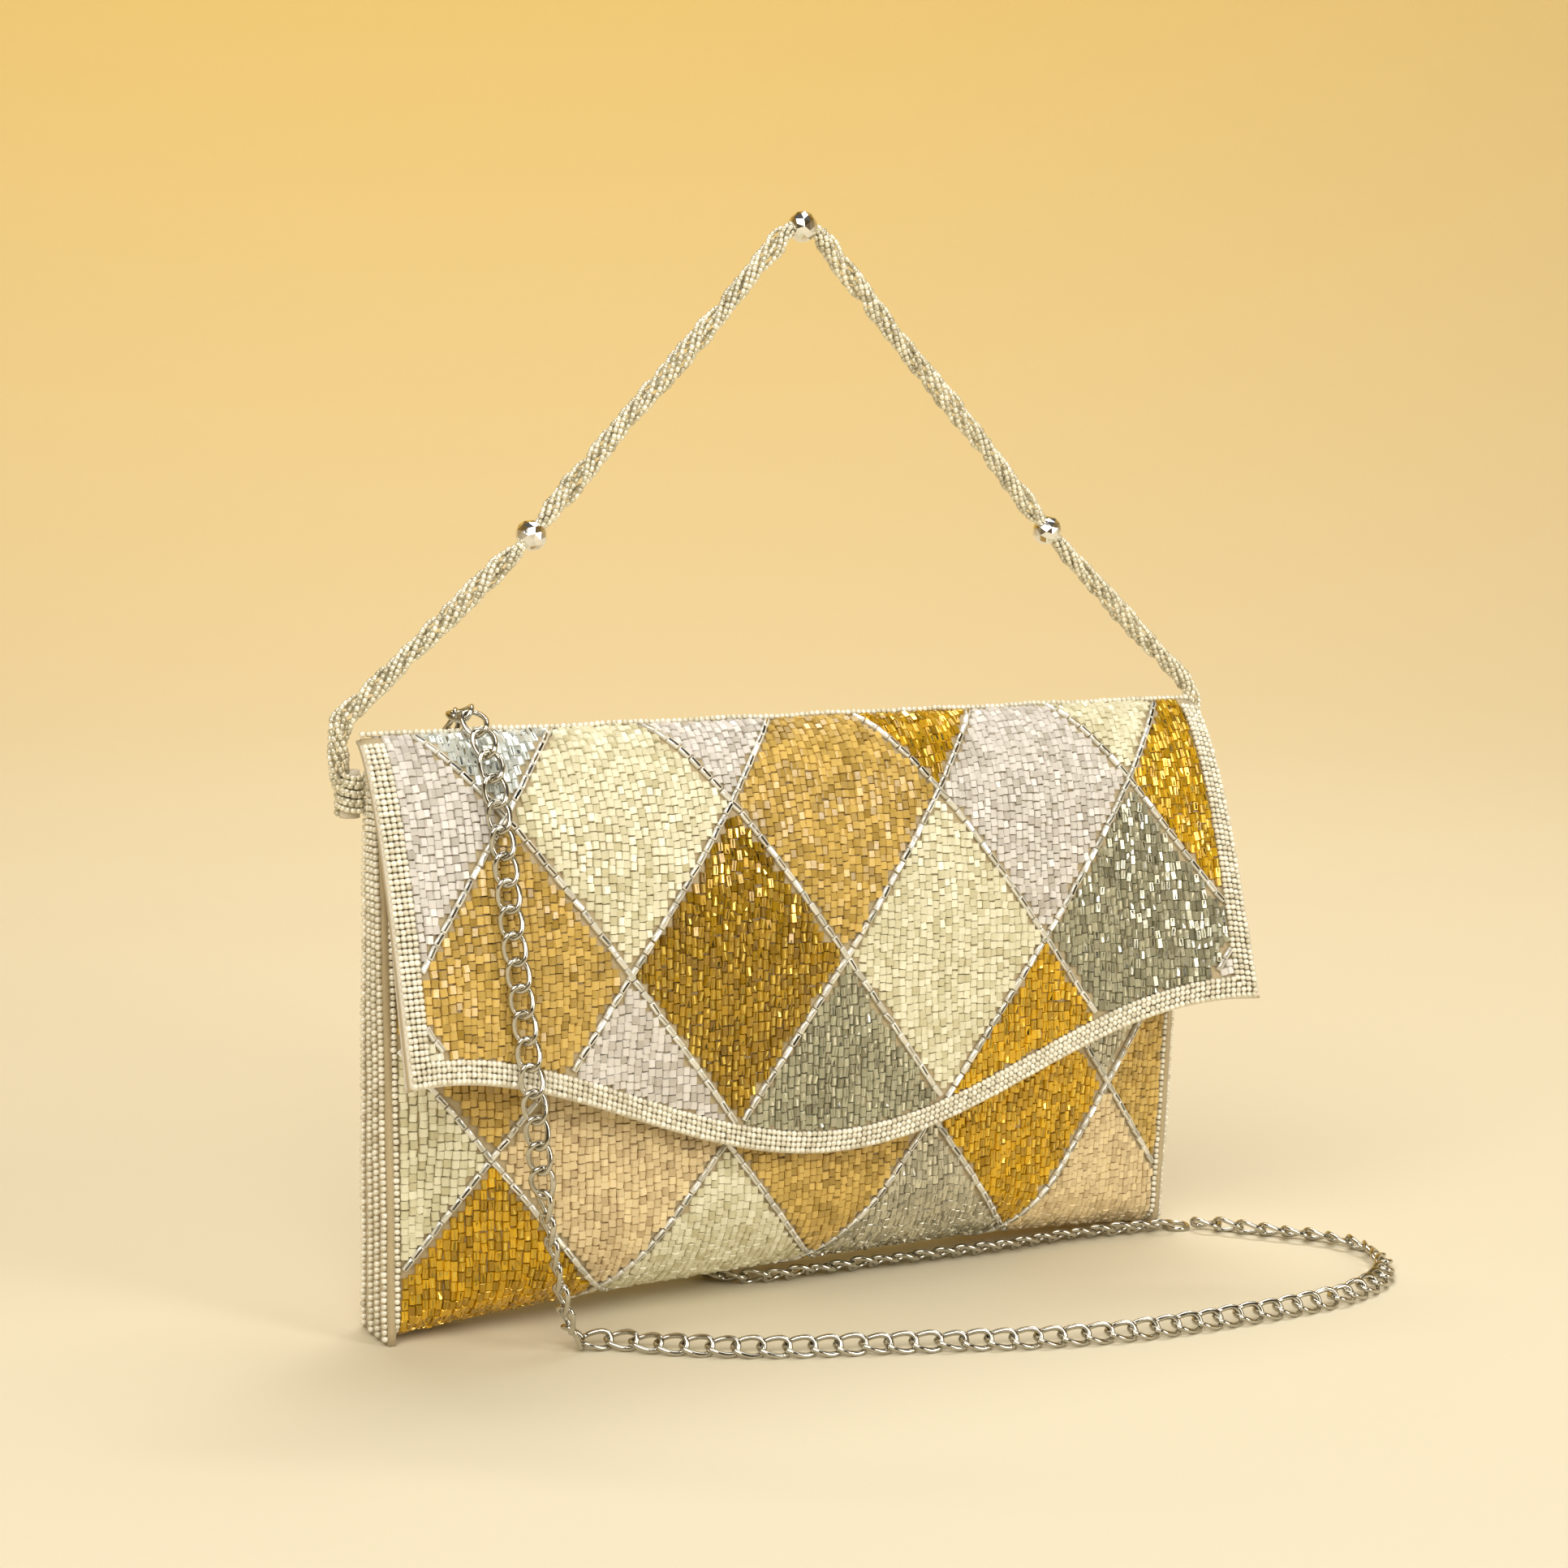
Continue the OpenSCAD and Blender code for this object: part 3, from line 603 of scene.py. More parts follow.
def lay_lines(label, skin, argyle, body, inset_side, s_from, inset_end):
    """Silver-lined bugle beads along the argyle's lines."""
    spots, axes, ups = [], [], []
    for x, s in argyle.lines(skin.half - inset_side, float(skin.arc.max())):
        u = x / skin.half
        end = np.array([skin.arc_at(a)[-1] for a in u]) - inset_end
        keep = (s > s_from) & (s < end)
        if keep.sum() < 6:
            continue
        u, s = u[keep], s[keep]
        place, _, normal = skin.frame(u, skin.v_of(u, s), BUGLE_SINK)
        order = np.argsort(s)
        place, normal = place[order], normal[order]
        run = run_of(place)
        first = BUGLE_PITCH / 2 + rng.uniform(0, 1)
        t = np.arange(first, run[-1] - BUGLE_PITCH / 3, BUGLE_PITCH)
        if not len(t):
            continue
        spots.append(sample(run, place, t))
        axes.append(heading(run, place, t, 1))
        ups.append(unit(sample(run, normal, t)))
    centre, axis, up = (np.concatenate(a) for a in (spots, axes, ups))
    count = len(centre)
    axis = turn(axis, up, jitter(count, 0.05))
    up = square_to(up, axis)
    length = BUGLE_L + jitter(count, 0.15)
    mesh = bead_mesh(f"{label}_lines", TUBE_BEAD, centre, axis, up, length, BUGLE_R)
    finish_piece(f"{label}_lines", mesh, line_look, body)
    tilt = turn(up, axis, jitter(count, 0.45))
    cores = bead_mesh(f"{label}_line_cores", CORE_DASH, centre + up * BUGLE_CORE_LIFT, axis, tilt,
        BUGLE_L * CORE_SHARE, BUGLE_CORE_R, False)
    finish_piece(f"{label}_line_cores", cores, core_looks["line"], body)


def strung(name, path, up, look, body, size=1.55, pitch=1.62, template=SEED_BEAD,
        length=1.35, replaced=(), wander=0.06):
    """Seed beads strung along several lines; up gives the way out at each line's points."""
    spots, axes, ups = [], [], []
    for line, line_up in zip(path, up):
        run = run_of(line)
        t = np.arange(pitch / 2, run[-1], pitch)
        t = np.clip(t + jitter(len(t), 0.04), 0, run[-1])
        spots.append(sample(run, line, t))
        axes.append(heading(run, line, t, 0.8))
        ups.append(unit(sample(run, line_up, t)))
    centre, axis, upward = (np.concatenate(a) for a in (spots, axes, ups))
    count = len(axis)
    upward = square_to(upward, axis)
    aside = np.cross(axis, upward) * jitter(count, wander)[:, None]
    centre = centre + aside + upward * jitter(count, wander)[:, None]
    axis = unit(turn(axis, upward, jitter(count, 0.06)))
    upward = square_to(upward, axis)
    radius = size / 2 * (1 + jitter(count, 0.04))
    mesh = bead_mesh(name, template, centre, axis, upward, length, radius)
    return finish_piece(name, mesh, look, body, replaced)


# ---- cloth layers and lines


def layer_faces(nu, nv, flipped):
    """Faces of a closed layer: a grid of nu by nv points, and the same grid again behind it."""
    count, faces = nu * nv, []
    for j in range(nv - 1):
        for i in range(nu - 1):
            a = j * nu + i
            faces.append((a, a + 1, a + nu + 1, a + nu))
            faces.append((a + count, a + nu + count, a + nu + 1 + count, a + 1 + count))
    rim = list(range(nu)) + [j * nu + nu - 1 for j in range(1, nv)]
    rim += [(nv - 1) * nu + i for i in range(nu - 2, -1, -1)]
    rim += [j * nu for j in range(nv - 2, 0, -1)]
    for k, a in enumerate(rim):
        b = rim[(k + 1) % len(rim)]
        faces.append((b, a, a + count, b + count))
    return [f[::-1] for f in faces] if flipped else faces


def slab(name, skin, depths, us, vs, look, body, replaced=(), wave=0.0):
    """A layer of cloth between two depths under a surface."""
    gu, gv = np.meshgrid(us, vs)
    gu, gv = gu.ravel(), gv.ravel()
    extra = wave * np.sin(gu * 23 + gv * 5) * np.sin(gv * 17 + gu * 9)
    outer = skin.frame(gu, gv, depths[0] + extra)[0]
    inner = skin.frame(gu, gv, depths[1] + extra)[0]
    faces = layer_faces(len(us), len(vs), skin.outward < 0)
    mesh = mesh_of_faces(name, np.concatenate([outer, inner]), faces)
    return finish_piece(name, mesh, look, body, replaced)


def tube_mesh(name, path, radius, sides=10):
    """A closed tube along a line; radius is a number or one for each point."""
    path = np.asarray(path, float)
    tangent = unit(np.gradient(path, axis=0))
    radius = np.broadcast_to(np.asarray(radius, float), (len(path),))
    normal = np.zeros_like(path)
    first = np.array([0, 0, 1.0]) if abs(tangent[0][2]) < 0.9 else np.array([0, 1.0, 0])
    prev = unit(np.cross(first, tangent[0]))
    for i, t in enumerate(tangent):
        prev = unit(prev - t * np.dot(prev, t))
        normal[i] = prev
    other = np.cross(tangent, normal)
    turns = 2 * math.pi * np.arange(sides) / sides
    c, s = np.cos(turns)[None, :, None], np.sin(turns)[None, :, None]
    ring = c * normal[:, None] + s * other[:, None]
    points = path[:, None] + radius[:, None, None] * ring
    faces = band_faces(len(path), sides) + end_faces(len(path), sides)
    return mesh_of_faces(name, points.reshape(-1, 3), faces)


def smooth_line(points, step=0.5):
    """An even line through given points."""
    p = np.asarray(points, float)
    p = np.concatenate([p[:1], p, p[-1:]])
    out = []
    for i in range(1, len(p) - 2):
        a, b, c, d = p[i - 1:i + 3]
        for t in np.arange(12) / 12:
            bend = (2 * a - 5 * b + 4 * c - d) + t * (3 * b - a - 3 * c + d)
            out.append(b + 0.5 * t * ((c - a) + t * bend))
    out.append(p[-1])
    return even_line(np.array(out), step)


def even_line(line, step):
    """The same line with its points about one step apart."""
    run = run_of(line)
    return sample(run, line, np.linspace(0, run[-1], max(2, int(run[-1] / step))))


# ---- the curb chain, in three free runs

clasp_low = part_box("clasp_right")[0][2] / MM
ring_y = (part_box("d_ring_right")[0][1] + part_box("d_ring_right")[1][1]) / 2 / MM
LIFT = 2.4  # height of the middle of the links above the surface
FOOT = [104.0, ring_y, clasp_low - 1.0]
BACK_RUN = [[-104, ring_y, clasp_low - 1.0], [-104.5, 20, 108], [-104, 22.5, 98],
    [-101, 24.2, 89], [-96, 25, 86], [-91.5, 25, 90], [-90.5, 24, 100], [-91.5, 22.4, 112],
    [-93.5, 19.8, 126], [-95.5, 16.6, 140], [-97, 13.4, 150], [-97.3, 9.4, 155.6]]
FRONT_RUN = [[-97.3, 9.4, 155.6], [-96.6, 4.6, 156.4], [-95.6, 0, 154.2], [-95, -4.9, 149],
    [-95, -8.6, 143.6], [-95, -13.4, 132.0], [-94.8, -16.9, 120.6], [-94.5, -19.5, 108],
    [-93.5, -21.2, 96.5], [-92.4, -22.8, 84.3], [-91.8, -24.6, 75.2], [-91.6, -26.4, 68],
    [-90.8, -27, 58], [-89.6, -26.6, 49], [-87.4, -25, 38], [-85, -24, 27], [-82.2, -23.2, 16],
    [-80, -21.6, 9.4], [-77.5, -19.8, 4.6], [-74.5, -19.5, LIFT]]
FLOOR_RUN = [[-68, -21.4], [-60.5, -28], [-51, -35], [-40, -41.5], [-28, -47], [-6.5, -54.5],
    [11.5, -61], [30, -67.5], [54, -73], [78, -75], [104, -75.5], [118, -74.5], [131, -71],
    [141, -65.5], [148, -58], [152.5, -49], [153, -41], [150.5, -33], [144.5, -25.5],
    [136.5, -17.5], [128.6, -9], [124.2, -4.8]]
RETURN_RUN = [[117.2, -2.2, LIFT], [106.6, -1.4, LIFT], [94, 0.6, LIFT], [80.4, 1.4, LIFT],
    [66, 1, LIFT], [53, 1.4, LIFT], [28.5, 3.5, LIFT], [4, 5, LIFT], [-8, 5.5, LIFT],
    [-18, 10, LIFT], [-22, 18, LIFT], [-16, 28, LIFT], [2, 38, LIFT], [26, 43, LIFT],
    [54, 44, LIFT], [80, 42, LIFT], [96, 39, 2.8], [103, 35, 9], [105, 31.4, 24], [105, 30, 46],
    [104.6, 27.5, 70], [104.2, 24, 92], [104, 20.8, 106], FOOT]
LINK_PITCH, LINK_HALF, LINK_WIDE, WIRE_R = 6.35, 3.90, 2.62, 0.72
LEAN_ON_FLOOR = 31


def link_points(segments=26, sides=7):
    """One curb link along X, flat in XY, its two ends turned opposite ways about X."""
    t = 2 * math.pi * np.arange(segments) / segments
    c, s = np.cos(t), np.sin(t)
    x = LINK_HALF * np.sign(c) * np.abs(c) ** 0.85
    y = LINK_WIDE * np.sign(s) * np.abs(s) ** 0.85
    path = np.stack([x, y, np.zeros(segments)], axis=1)
    tangent = unit(np.roll(path, -1, axis=0) - np.roll(path, 1, axis=0))
    outward = np.cross(tangent, [0, 0, 1.0])
    a = 2 * math.pi * np.arange(sides) / sides
    tube = path[:, None] + WIRE_R * (np.cos(a)[None, :, None] * outward[:, None]
        + np.sin(a)[None, :, None] * np.array([0, 0, 1.0]))
    flat = tube.reshape(-1, 3)
    twist = math.radians(28) * flat[:, 0] / LINK_HALF
    y, z = flat[:, 1].copy(), flat[:, 2].copy()
    flat[:, 1] = y * np.cos(twist) - z * np.sin(twist)
    flat[:, 2] = y * np.sin(twist) + z * np.cos(twist)
    faces = []
    for i in range(segments):
        for k in range(sides):
            j, m = (i + 1) % segments, (k + 1) % sides
            faces.append((i * sides + k, j * sides + k, j * sides + m, i * sides + m))
    return flat, faces


LINK, LINK_FACES = link_points()


def chain_run(name, route, normals, lean, replaced):
    """Links along a route; normals are the ways out of what the chain lies on, at even steps."""
    line = smooth_line(route)
    run = run_of(line)
    total = run[-1]
    count = int(round(total / LINK_PITCH))
    t = (np.arange(count) + 0.5) * total / count
    centre = sample(run, line, t)
    axis = heading(run, line, t, 3)
    share = np.linspace(0, 1, len(normals))
    way = square_to(sample(share, np.asarray(normals, float), t / total), axis)
    tip = np.radians(np.where(centre[:, 2] > 6, lean, LEAN_ON_FLOOR))
    way = turn(way, axis, tip + jitter(count, 0.10))
    side = np.cross(way, axis)
    basis = np.stack([axis, side, way], axis=1)
    points = (centre[:, None, :] + np.einsum("pk,nkj->npj", LINK, basis)).reshape(-1, 3)
    faces = np.array(LINK_FACES)
    loops = (faces.ravel()[None, :] + len(LINK) * np.arange(count)[:, None]).ravel()
    mesh = mesh_from(name, points, loops, np.arange(0, len(loops), 4))
    obj = finish_piece(name, mesh, chain_look, None, replaced)
    return obj, line


UP, OUT, BEHIND = [0, 0, 1], [0, -1, 0], [0, 1, 0]
LEAN_BEHIND, LEAN_IN_FRONT = 30, 27
back_ways = [BEHIND] * 9 + [[0, 1, 1]] * 2
chain_a, line_a = chain_run("chain_from_clasp", BACK_RUN, back_ways, LEAN_BEHIND, ["chain_back"])
front_line = FRONT_RUN + [[x, y, LIFT] for x, y in FLOOR_RUN]
front_ways = [[0, 0, 1], [0, -0.5, 1]] + [OUT] * 13 + [[-0.3, -0.6, 1]] + [UP] * 44
chain_b, line_b = chain_run("chain_over_flap", front_line, front_ways, LEAN_IN_FRONT,
    ["chain_front", "chain_floor"])
return_ways = [UP] * 24 + [BEHIND] * 10
chain_c, line_c = chain_run("chain_to_clasp", RETURN_RUN, return_ways, LEAN_BEHIND,
    ["chain_return"])
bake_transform(chain_a)
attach(chain_b, "purse")
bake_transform(chain_c)

# ---- beaded panels

# Bare margins at a panel's sides, its start and its end, for the tube beads and for the lines
BODY_MARGINS = ((1.4, 0.6, 0.6), (1.5, 1.0, 1.0))
FLAP_MARGINS = ((6.2, 0.2, 6.2), (5.8, 0.5, 6.0))
for label, skin, argyle, body, margins in (
    ("front", front, front_argyle, "purse", BODY_MARGINS),
    ("back", back, back_argyle, "purse", BODY_MARGINS),
    ("flap", flap, flap_argyle, "flap", FLAP_MARGINS),
):
    lay_beads(f"{label}_beads", skin, argyle, body, *margins[0])
    lay_lines(label, skin, argyle, body, *margins[1])

grid_u = np.linspace(-1, 1, 97)
grid_v = np.linspace(0, 1, 61)
CLOTH_AT = 0.75  # depth of the cloth under the beads
FLAP_CLOTH_AT = 0.70
WAVE = 0.12  # unevenness of the lining
# cloth under the beads, coloured with the painted shade of the gaps between them
for label, skin, top, bottom, body in (
    ("front", front, CLOTH_AT, PANEL_T, "purse"),
    ("back", back, CLOTH_AT, BACK_T, "purse"),
    ("flap", flap, FLAP_CLOTH_AT, PANEL_T, "flap"),
):
    slab(f"{label}_cloth", skin, (top, bottom), grid_u, grid_v, shaded_cloth_look, body,
        [f"{label}_panel"])
lining_at = PANEL_T + BOARD_T + 2 * PLY
back_lining_at = BACK_T + BOARD_T + 2 * PLY
pocket_at = back_lining_at + LINING_T + PLY
lining_u = grid_u * 0.995
for label, skin, depth, us, vs, body, node in (
    ("front_satin", front, lining_at, lining_u, grid_v, "purse", "front_lining"),
    ("back_satin", back, back_lining_at, lining_u, grid_v, "purse", "back_lining"),
    ("flap_satin", flap, lining_at, lining_u, 0.02 + grid_v * 0.98, "flap", "flap_lining"),
    ("pocket_satin", back, pocket_at, grid_u * 10 / 18, 6 / 13 + grid_v * 5 / 13, "purse",
        "slip_pocket"),
):
    slab(label, skin, (depth, depth + LINING_T), us, vs, lining_look, body, [node], WAVE)

# ---- rows of beads round the flap, along the fold and down the gussets


def flap_row(inset, lift):
    """A row round the flap's sides and lower edge, at an even distance from the edge."""
    side_u = 1 - inset / (FLAP_W / 2)
    down = np.linspace(0.03, 1, 60)
    over = np.linspace(-side_u, side_u, 160)
    ends = np.array([flap.arc_at(u)[-1] for u in over]) - inset
    v_low = flap.v_of(over, ends)
    left_v = down * v_low[0]
    right_v = (down * v_low[-1])[::-1]
    u = np.concatenate([np.full(60, -side_u), over[1:-1], np.full(60, side_u)])
    v = np.concatenate([left_v, v_low[1:-1], right_v])
    place, _, normal = flap.frame(u, v, -lift)
    return even_line(place, 0.5), normal


rows_of_flap, ups_of_flap = [], []
for inset in (1.0, 2.45, 3.9, 5.35):
    line, normal = flap_row(inset, 0.1)
    rows_of_flap.append(line)
    picked = np.linspace(0, len(normal) - 1, len(line)).astype(int)
    ups_of_flap.append(normal[picked])
lip = tube_mesh("flap_lip", flap_row(0.6, -0.45)[0][::2], 0.6, 10)
finish_piece("flap_lip", lip, edge_look, "flap")
strung("flap_trim_beads", rows_of_flap, ups_of_flap, trim_look, "flap",
    size=1.62, pitch=1.5, replaced=["flap_piping"])

fold_x = np.linspace(-FLAP_W / 2 + 0.8, FLAP_W / 2 - 0.8, 300)
fold_wave = 0.25 * np.sin(fold_x / 9.0) + 0.2 * np.sin(fold_x / 3.7 + 1)
fold_z = FOLD_H + ROLL_R + 0.55 + 0.15 * np.sin(fold_x / 5.0)
fold_line = rows(fold_x, FOLD_Y + 0.2 + fold_wave, fold_z)
strung("fold_beads", [fold_line], [all_facing(fold_line, (0, 0, 1))], trim_look, "flap",
    size=1.5, pitch=1.55, replaced=["fold_trim"])
roll_end = FLAP_W / 2 - 1.2
roll_line = rows(np.linspace(-roll_end, roll_end, 60), FOLD_Y + 0.1, FOLD_H)
roll = tube_mesh("fold_roll", roll_line, ROLL_R - 0.35, 20)
# the roll's cloth carries the same painted shade between its beads
finish_piece("fold_roll", roll, shaded_cloth_look, "flap")

# the roll's own tube beads, two rows behind the fold
roll_count = int((FLAP_W - 8) / COLUMN)
roll_x = -FLAP_W / 2 + 4 + (np.arange(roll_count) + 0.5) * COLUMN
for k, angle in enumerate((42, -18)):
    way = np.array([0, math.cos(math.radians(angle)), math.sin(math.radians(angle))])
    down_way = np.array([0, math.sin(math.radians(angle)), -math.cos(math.radians(angle))])
    spots = rows(roll_x, FOLD_Y + way[1], FOLD_H + way[2])
    spots = spots + jitter(roll_count, 0.06)[:, None] * down_way
    tints, _ = flap_argyle.cell(roll_x, np.full(roll_count, -2.0 - 2.1 * k))
    ups = np.tile(way, (roll_count, 1))
    axes = turn(np.tile(down_way, (roll_count, 1)), ups, jitter(roll_count, 0.06))
    for name in sorted(set(tints)):
        which = tints == name
        mesh = bead_mesh(f"roll_{k}_{name}", TUBE_BEAD, spots[which], axes[which], ups[which],
            1.7, 0.9)
        finish_piece(f"roll_{k}_{name}", mesh, bead_looks[name], "flap")


BEAD_LANES = (-0.88, -0.42, 0.06, 0.70)  # shares of the gusset's half depth


def gusset_cloth(side):
    """One gusset, bulging a little, and the rows of beads down it."""
    zs = np.linspace(0.1, SEAM_Z, 40)
    lanes = np.linspace(-1, 1, 9)
    gz, gl = np.meshgrid(zs, lanes, indexing="ij")
    gz, gl = gz.ravel(), gl.ravel()
    bulge = 0.5 * (1 - gl ** 2)
    outer = rows(side * (half_w(gz) + GUSSET_T - 0.5 + bulge), seam_y(gz) + gl * seam_half(gz), gz)
    inner = rows(side * (half_w(gz) + 0.05), seam_y(gz) + gl * seam_half(gz), gz)
    faces = layer_faces(len(lanes), len(zs), side < 0)
    word = "left" if side < 0 else "right"
    mesh = mesh_of_faces(f"gusset_cloth_{word}", np.concatenate([outer, inner]), faces)
    # the gusset's cloth, in the painted shade of the gaps between its beads
    finish_piece(f"gusset_cloth_{word}", mesh, shaded_cloth_look, "purse", [f"gusset_{word}"])
    lines, ups = [], []
    lane_z = np.linspace(1.0, 143, 240)
    for lane in BEAD_LANES:
        y = seam_y(lane_z) + lane * seam_half(lane_z) + 0.2 * np.sin(lane_z / 6 + lane)
        x = half_w(lane_z) + GUSSET_T + 0.15 + 0.4 * (1 - lane ** 2)
        lines.append(rows(side * x, y, lane_z))
        ups.append(all_facing(lane_z, (side, 0, 0)))
    strung(f"gusset_beads_{word}", lines, ups, trim_look, "purse", size=1.65, pitch=1.68,
        replaced=[f"gusset_trim_{word}"])


gusset_cloth(-1)
gusset_cloth(1)

# rows of beads where the front and the back meet the gussets, and along the bottom seam
for word, skin in (("front", front), ("back", back)):
    lines, ups = [], []
    for side in (-1, 1):
        v = np.linspace(0.02, 0.995, 200)
        u = np.full(200, side * 0.9965)
        place, _, normal = skin.frame(u, v, 0.2)
        lines.append(place)
        ups.append(normal)
    strung(f"{word}_edge_beads", lines, ups, trim_look, "purse", size=1.6, pitch=1.64)
seam_u = np.linspace(-0.99, 0.99, 260)
seam_lift = rows(0 * seam_u, 0 * seam_u, 0.35 + 0.15 * np.sin(seam_u * 60))
seam_line = front.point(seam_u, 0 * seam_u) + seam_lift
strung("bottom_seam_beads", [seam_line], [all_facing(seam_line, (0, 0, -1))], trim_look,
    "purse", size=1.5, pitch=1.6)

# the mouth's rolled binding
mouth_u = np.linspace(-0.985, 0.985, 120)
mouth = body_point(-1, MOUTH_H, mouth_u, np.ones(120))
mouth_in = (lining_at + LINING_T) / 2 + 0.06 * np.sin(mouth_u * 70)
mouth = mouth + rows(0 * mouth_u, mouth_in, 1.3 + 0 * mouth_u)
roll = tube_mesh("mouth_roll", mouth, 1.15 + 0.06 * np.sin(mouth_u * 190), 12)
finish_piece("mouth_roll", roll, lining_look, "purse", ["mouth_binding"])

# ---- handle

PIVOT = np.array([126.8, 10.0, 149.6])
BALL_SIDE = np.array([76.5, 11.0, 199.0])
BALL_TOP = np.array([0.0, 14.0, 277.0])
ROPE_LOW = [[126.0, 10.8, 139], [126.9, 10.0, 144], PIVOT, [126.8, 10, 152.2],
    [126.2, 10.2, 154.6], [124.2, 10.6, 157], [120.4, 11, 160.2], [115, 11, 164.6],
    [109, 11, 170], [100, 11, 178], [88, 11, 188.7], BALL_SIDE]
ROPE_HIGH = [BALL_SIDE, [66, 11.4, 210.5], [50, 12.2, 227.8], [33, 13, 245], [18, 13.7, 261],
    [8.4, 14, 271.5], [5.4, 14, 275.2], [2.6, 14, 276.6], BALL_TOP]
STRANDS = 7
STRAND_PITCH = 27.0
STRAND_BEAD = bead_template(round_section(6), [(-1, 0.66), (-0.62, 1), (0.62, 1), (1, 0.66)])


def rope(name, route, side, body, replaced, pinch):
    """Loose strands of beads twisted about a line, drawn together at its ends."""
    line = smooth_line(route)
    if side < 0:
        line = line * np.array([-1, 1, 1])
    run = run_of(line)
    tangent = unit(np.gradient(line, axis=0))
    flat = unit(np.cross(tangent, [0, 1.0, 0]))
    deep = np.cross(tangent, flat)
    total = run[-1]
    spread = np.minimum(1, 0.30 + np.minimum((run + pinch[0]) / 13, (total - run + pinch[1]) / 13))
    spread = spread * (1 + 0.10 * np.sin(run / 7.0 + side))
    lines, ups = [], []
    for k in range(STRANDS):
        phase = 2 * math.pi * k / STRANDS
        angle = side * 2 * math.pi * run / STRAND_PITCH + phase + 0.12 * np.sin(run / 11 + 2 * k)
        reach = (2.15 + 0.18 * np.sin(run / 9 + 3 * k)) * spread
        if k == STRANDS - 1:
            reach = 0.5 * spread
        away = np.cos(angle)[:, None] * flat + 0.8 * np.sin(angle)[:, None] * deep
        lines.append(line + away * reach[:, None])
        ups.append(unit(away))
    return strung(name, lines, ups, strand_look, body, size=1.28, pitch=1.58,
        template=STRAND_BEAD, length=1.45, replaced=replaced, wander=0.04)


for side, word in ((-1, "left"), (1, "right")):
    low = rope(f"handle_low_{word}", ROPE_LOW, side, None, [f"rope_{word}_lower"], (6, 0))
    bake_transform(low)
    rope(f"handle_high_{word}", ROPE_HIGH, side, "handle", [f"rope_{word}_upper"], (0, 0))


def faceted_ball(name, centre, tilt, node, width=8.2, length=6.8):
    """A cut metal bead: flat facets round it, with its flat ends turned along the strands."""
    sides = 12
    belts = [(-1, 0.34), (-0.86, 0.62), (-0.42, 0.92), (0, 1), (0.42, 0.92), (0.86, 0.62),
        (1, 0.34)]
    points = []
    for r, (place, share) in enumerate(belts):
        for k in range(sides):
            a = 2 * math.pi * (k + 0.5 * (r % 2)) / sides
            r_here = share * width / 2
            points.append((r_here * math.cos(a), r_here * math.sin(a), place * length / 2))
    faces = []
    for r in range(len(belts) - 1):
        for k in range(sides):
            a, b = r * sides + k, r * sides + (k + 1) % sides
            if r % 2 == 0:
                faces += [(a, b, a + sides), (b, b + sides, a + sides)]
            else:
                faces += [(a, b, b + sides), (a, b + sides, a + sides)]
    faces += end_faces(len(belts), sides)
    spin = np.array(Matrix.Rotation(tilt, 3, "Y"))
    mesh = mesh_of_faces(name, np.array(points) @ spin.T + centre, faces, smooth=False)
    return finish_piece(name, mesh, ball_look, "handle", [node])


side_tilt = math.atan2(BALL_SIDE[0] - 8.5, 271.5 - BALL_SIDE[2])
faceted_ball("cut_ball_left", BALL_SIDE * np.array([-1, 1, 1]), side_tilt, "ball_left")
faceted_ball("cut_ball_right", BALL_SIDE, -side_tilt, "ball_right")
faceted_ball("cut_ball_middle", BALL_TOP, math.pi / 2, "ball_middle")

# the turns of strand that bind the handle's ends
ANCHOR_Z, ANCHOR_TURNS = 131.5, 4
anchor_x = half_w(ANCHOR_Z) + GUSSET_T + 3.6
for side, word in ((-1, "left"), (1, "right")):
    lines, ups = [], []
    mirror = np.array([side, 1, 0])
    for start, reach in ((0.0, 3.0), (1.5, 2.9)):
        a = np.linspace(0, 2 * math.pi * ANCHOR_TURNS, 500)
        way = rows(np.cos(a), 1.35 * np.sin(a), 0 * a)
        slope = 0.35 * np.sin(a)
        z = ANCHOR_Z + 0.8 + start + (12.0 - 3.2) * a / a[-1] + slope
        lines.append(rows(side * anchor_x, PIVOT[1] + 1.5, z) + way * reach * mirror)
        ups.append(unit(way * mirror))
    strung(f"anchor_beads_{word}", lines, ups, strand_look, "purse", size=1.35, pitch=1.5,
        template=STRAND_BEAD, length=1.4, replaced=[f"handle_anchor_{word}"])
    core_z = np.linspace(ANCHOR_Z, ANCHOR_Z + 11.5, 12)
    core_line = rows(side * anchor_x + 0 * core_z, PIVOT[1] + 1.5, core_z)
    core = tube_mesh(f"anchor_core_{word}", core_line, 2.5, 16)
    finish_piece(f"anchor_core_{word}", core, edge_look, "purse")

# ---- ring tabs: a folded strip of cloth round each D-ring's bar


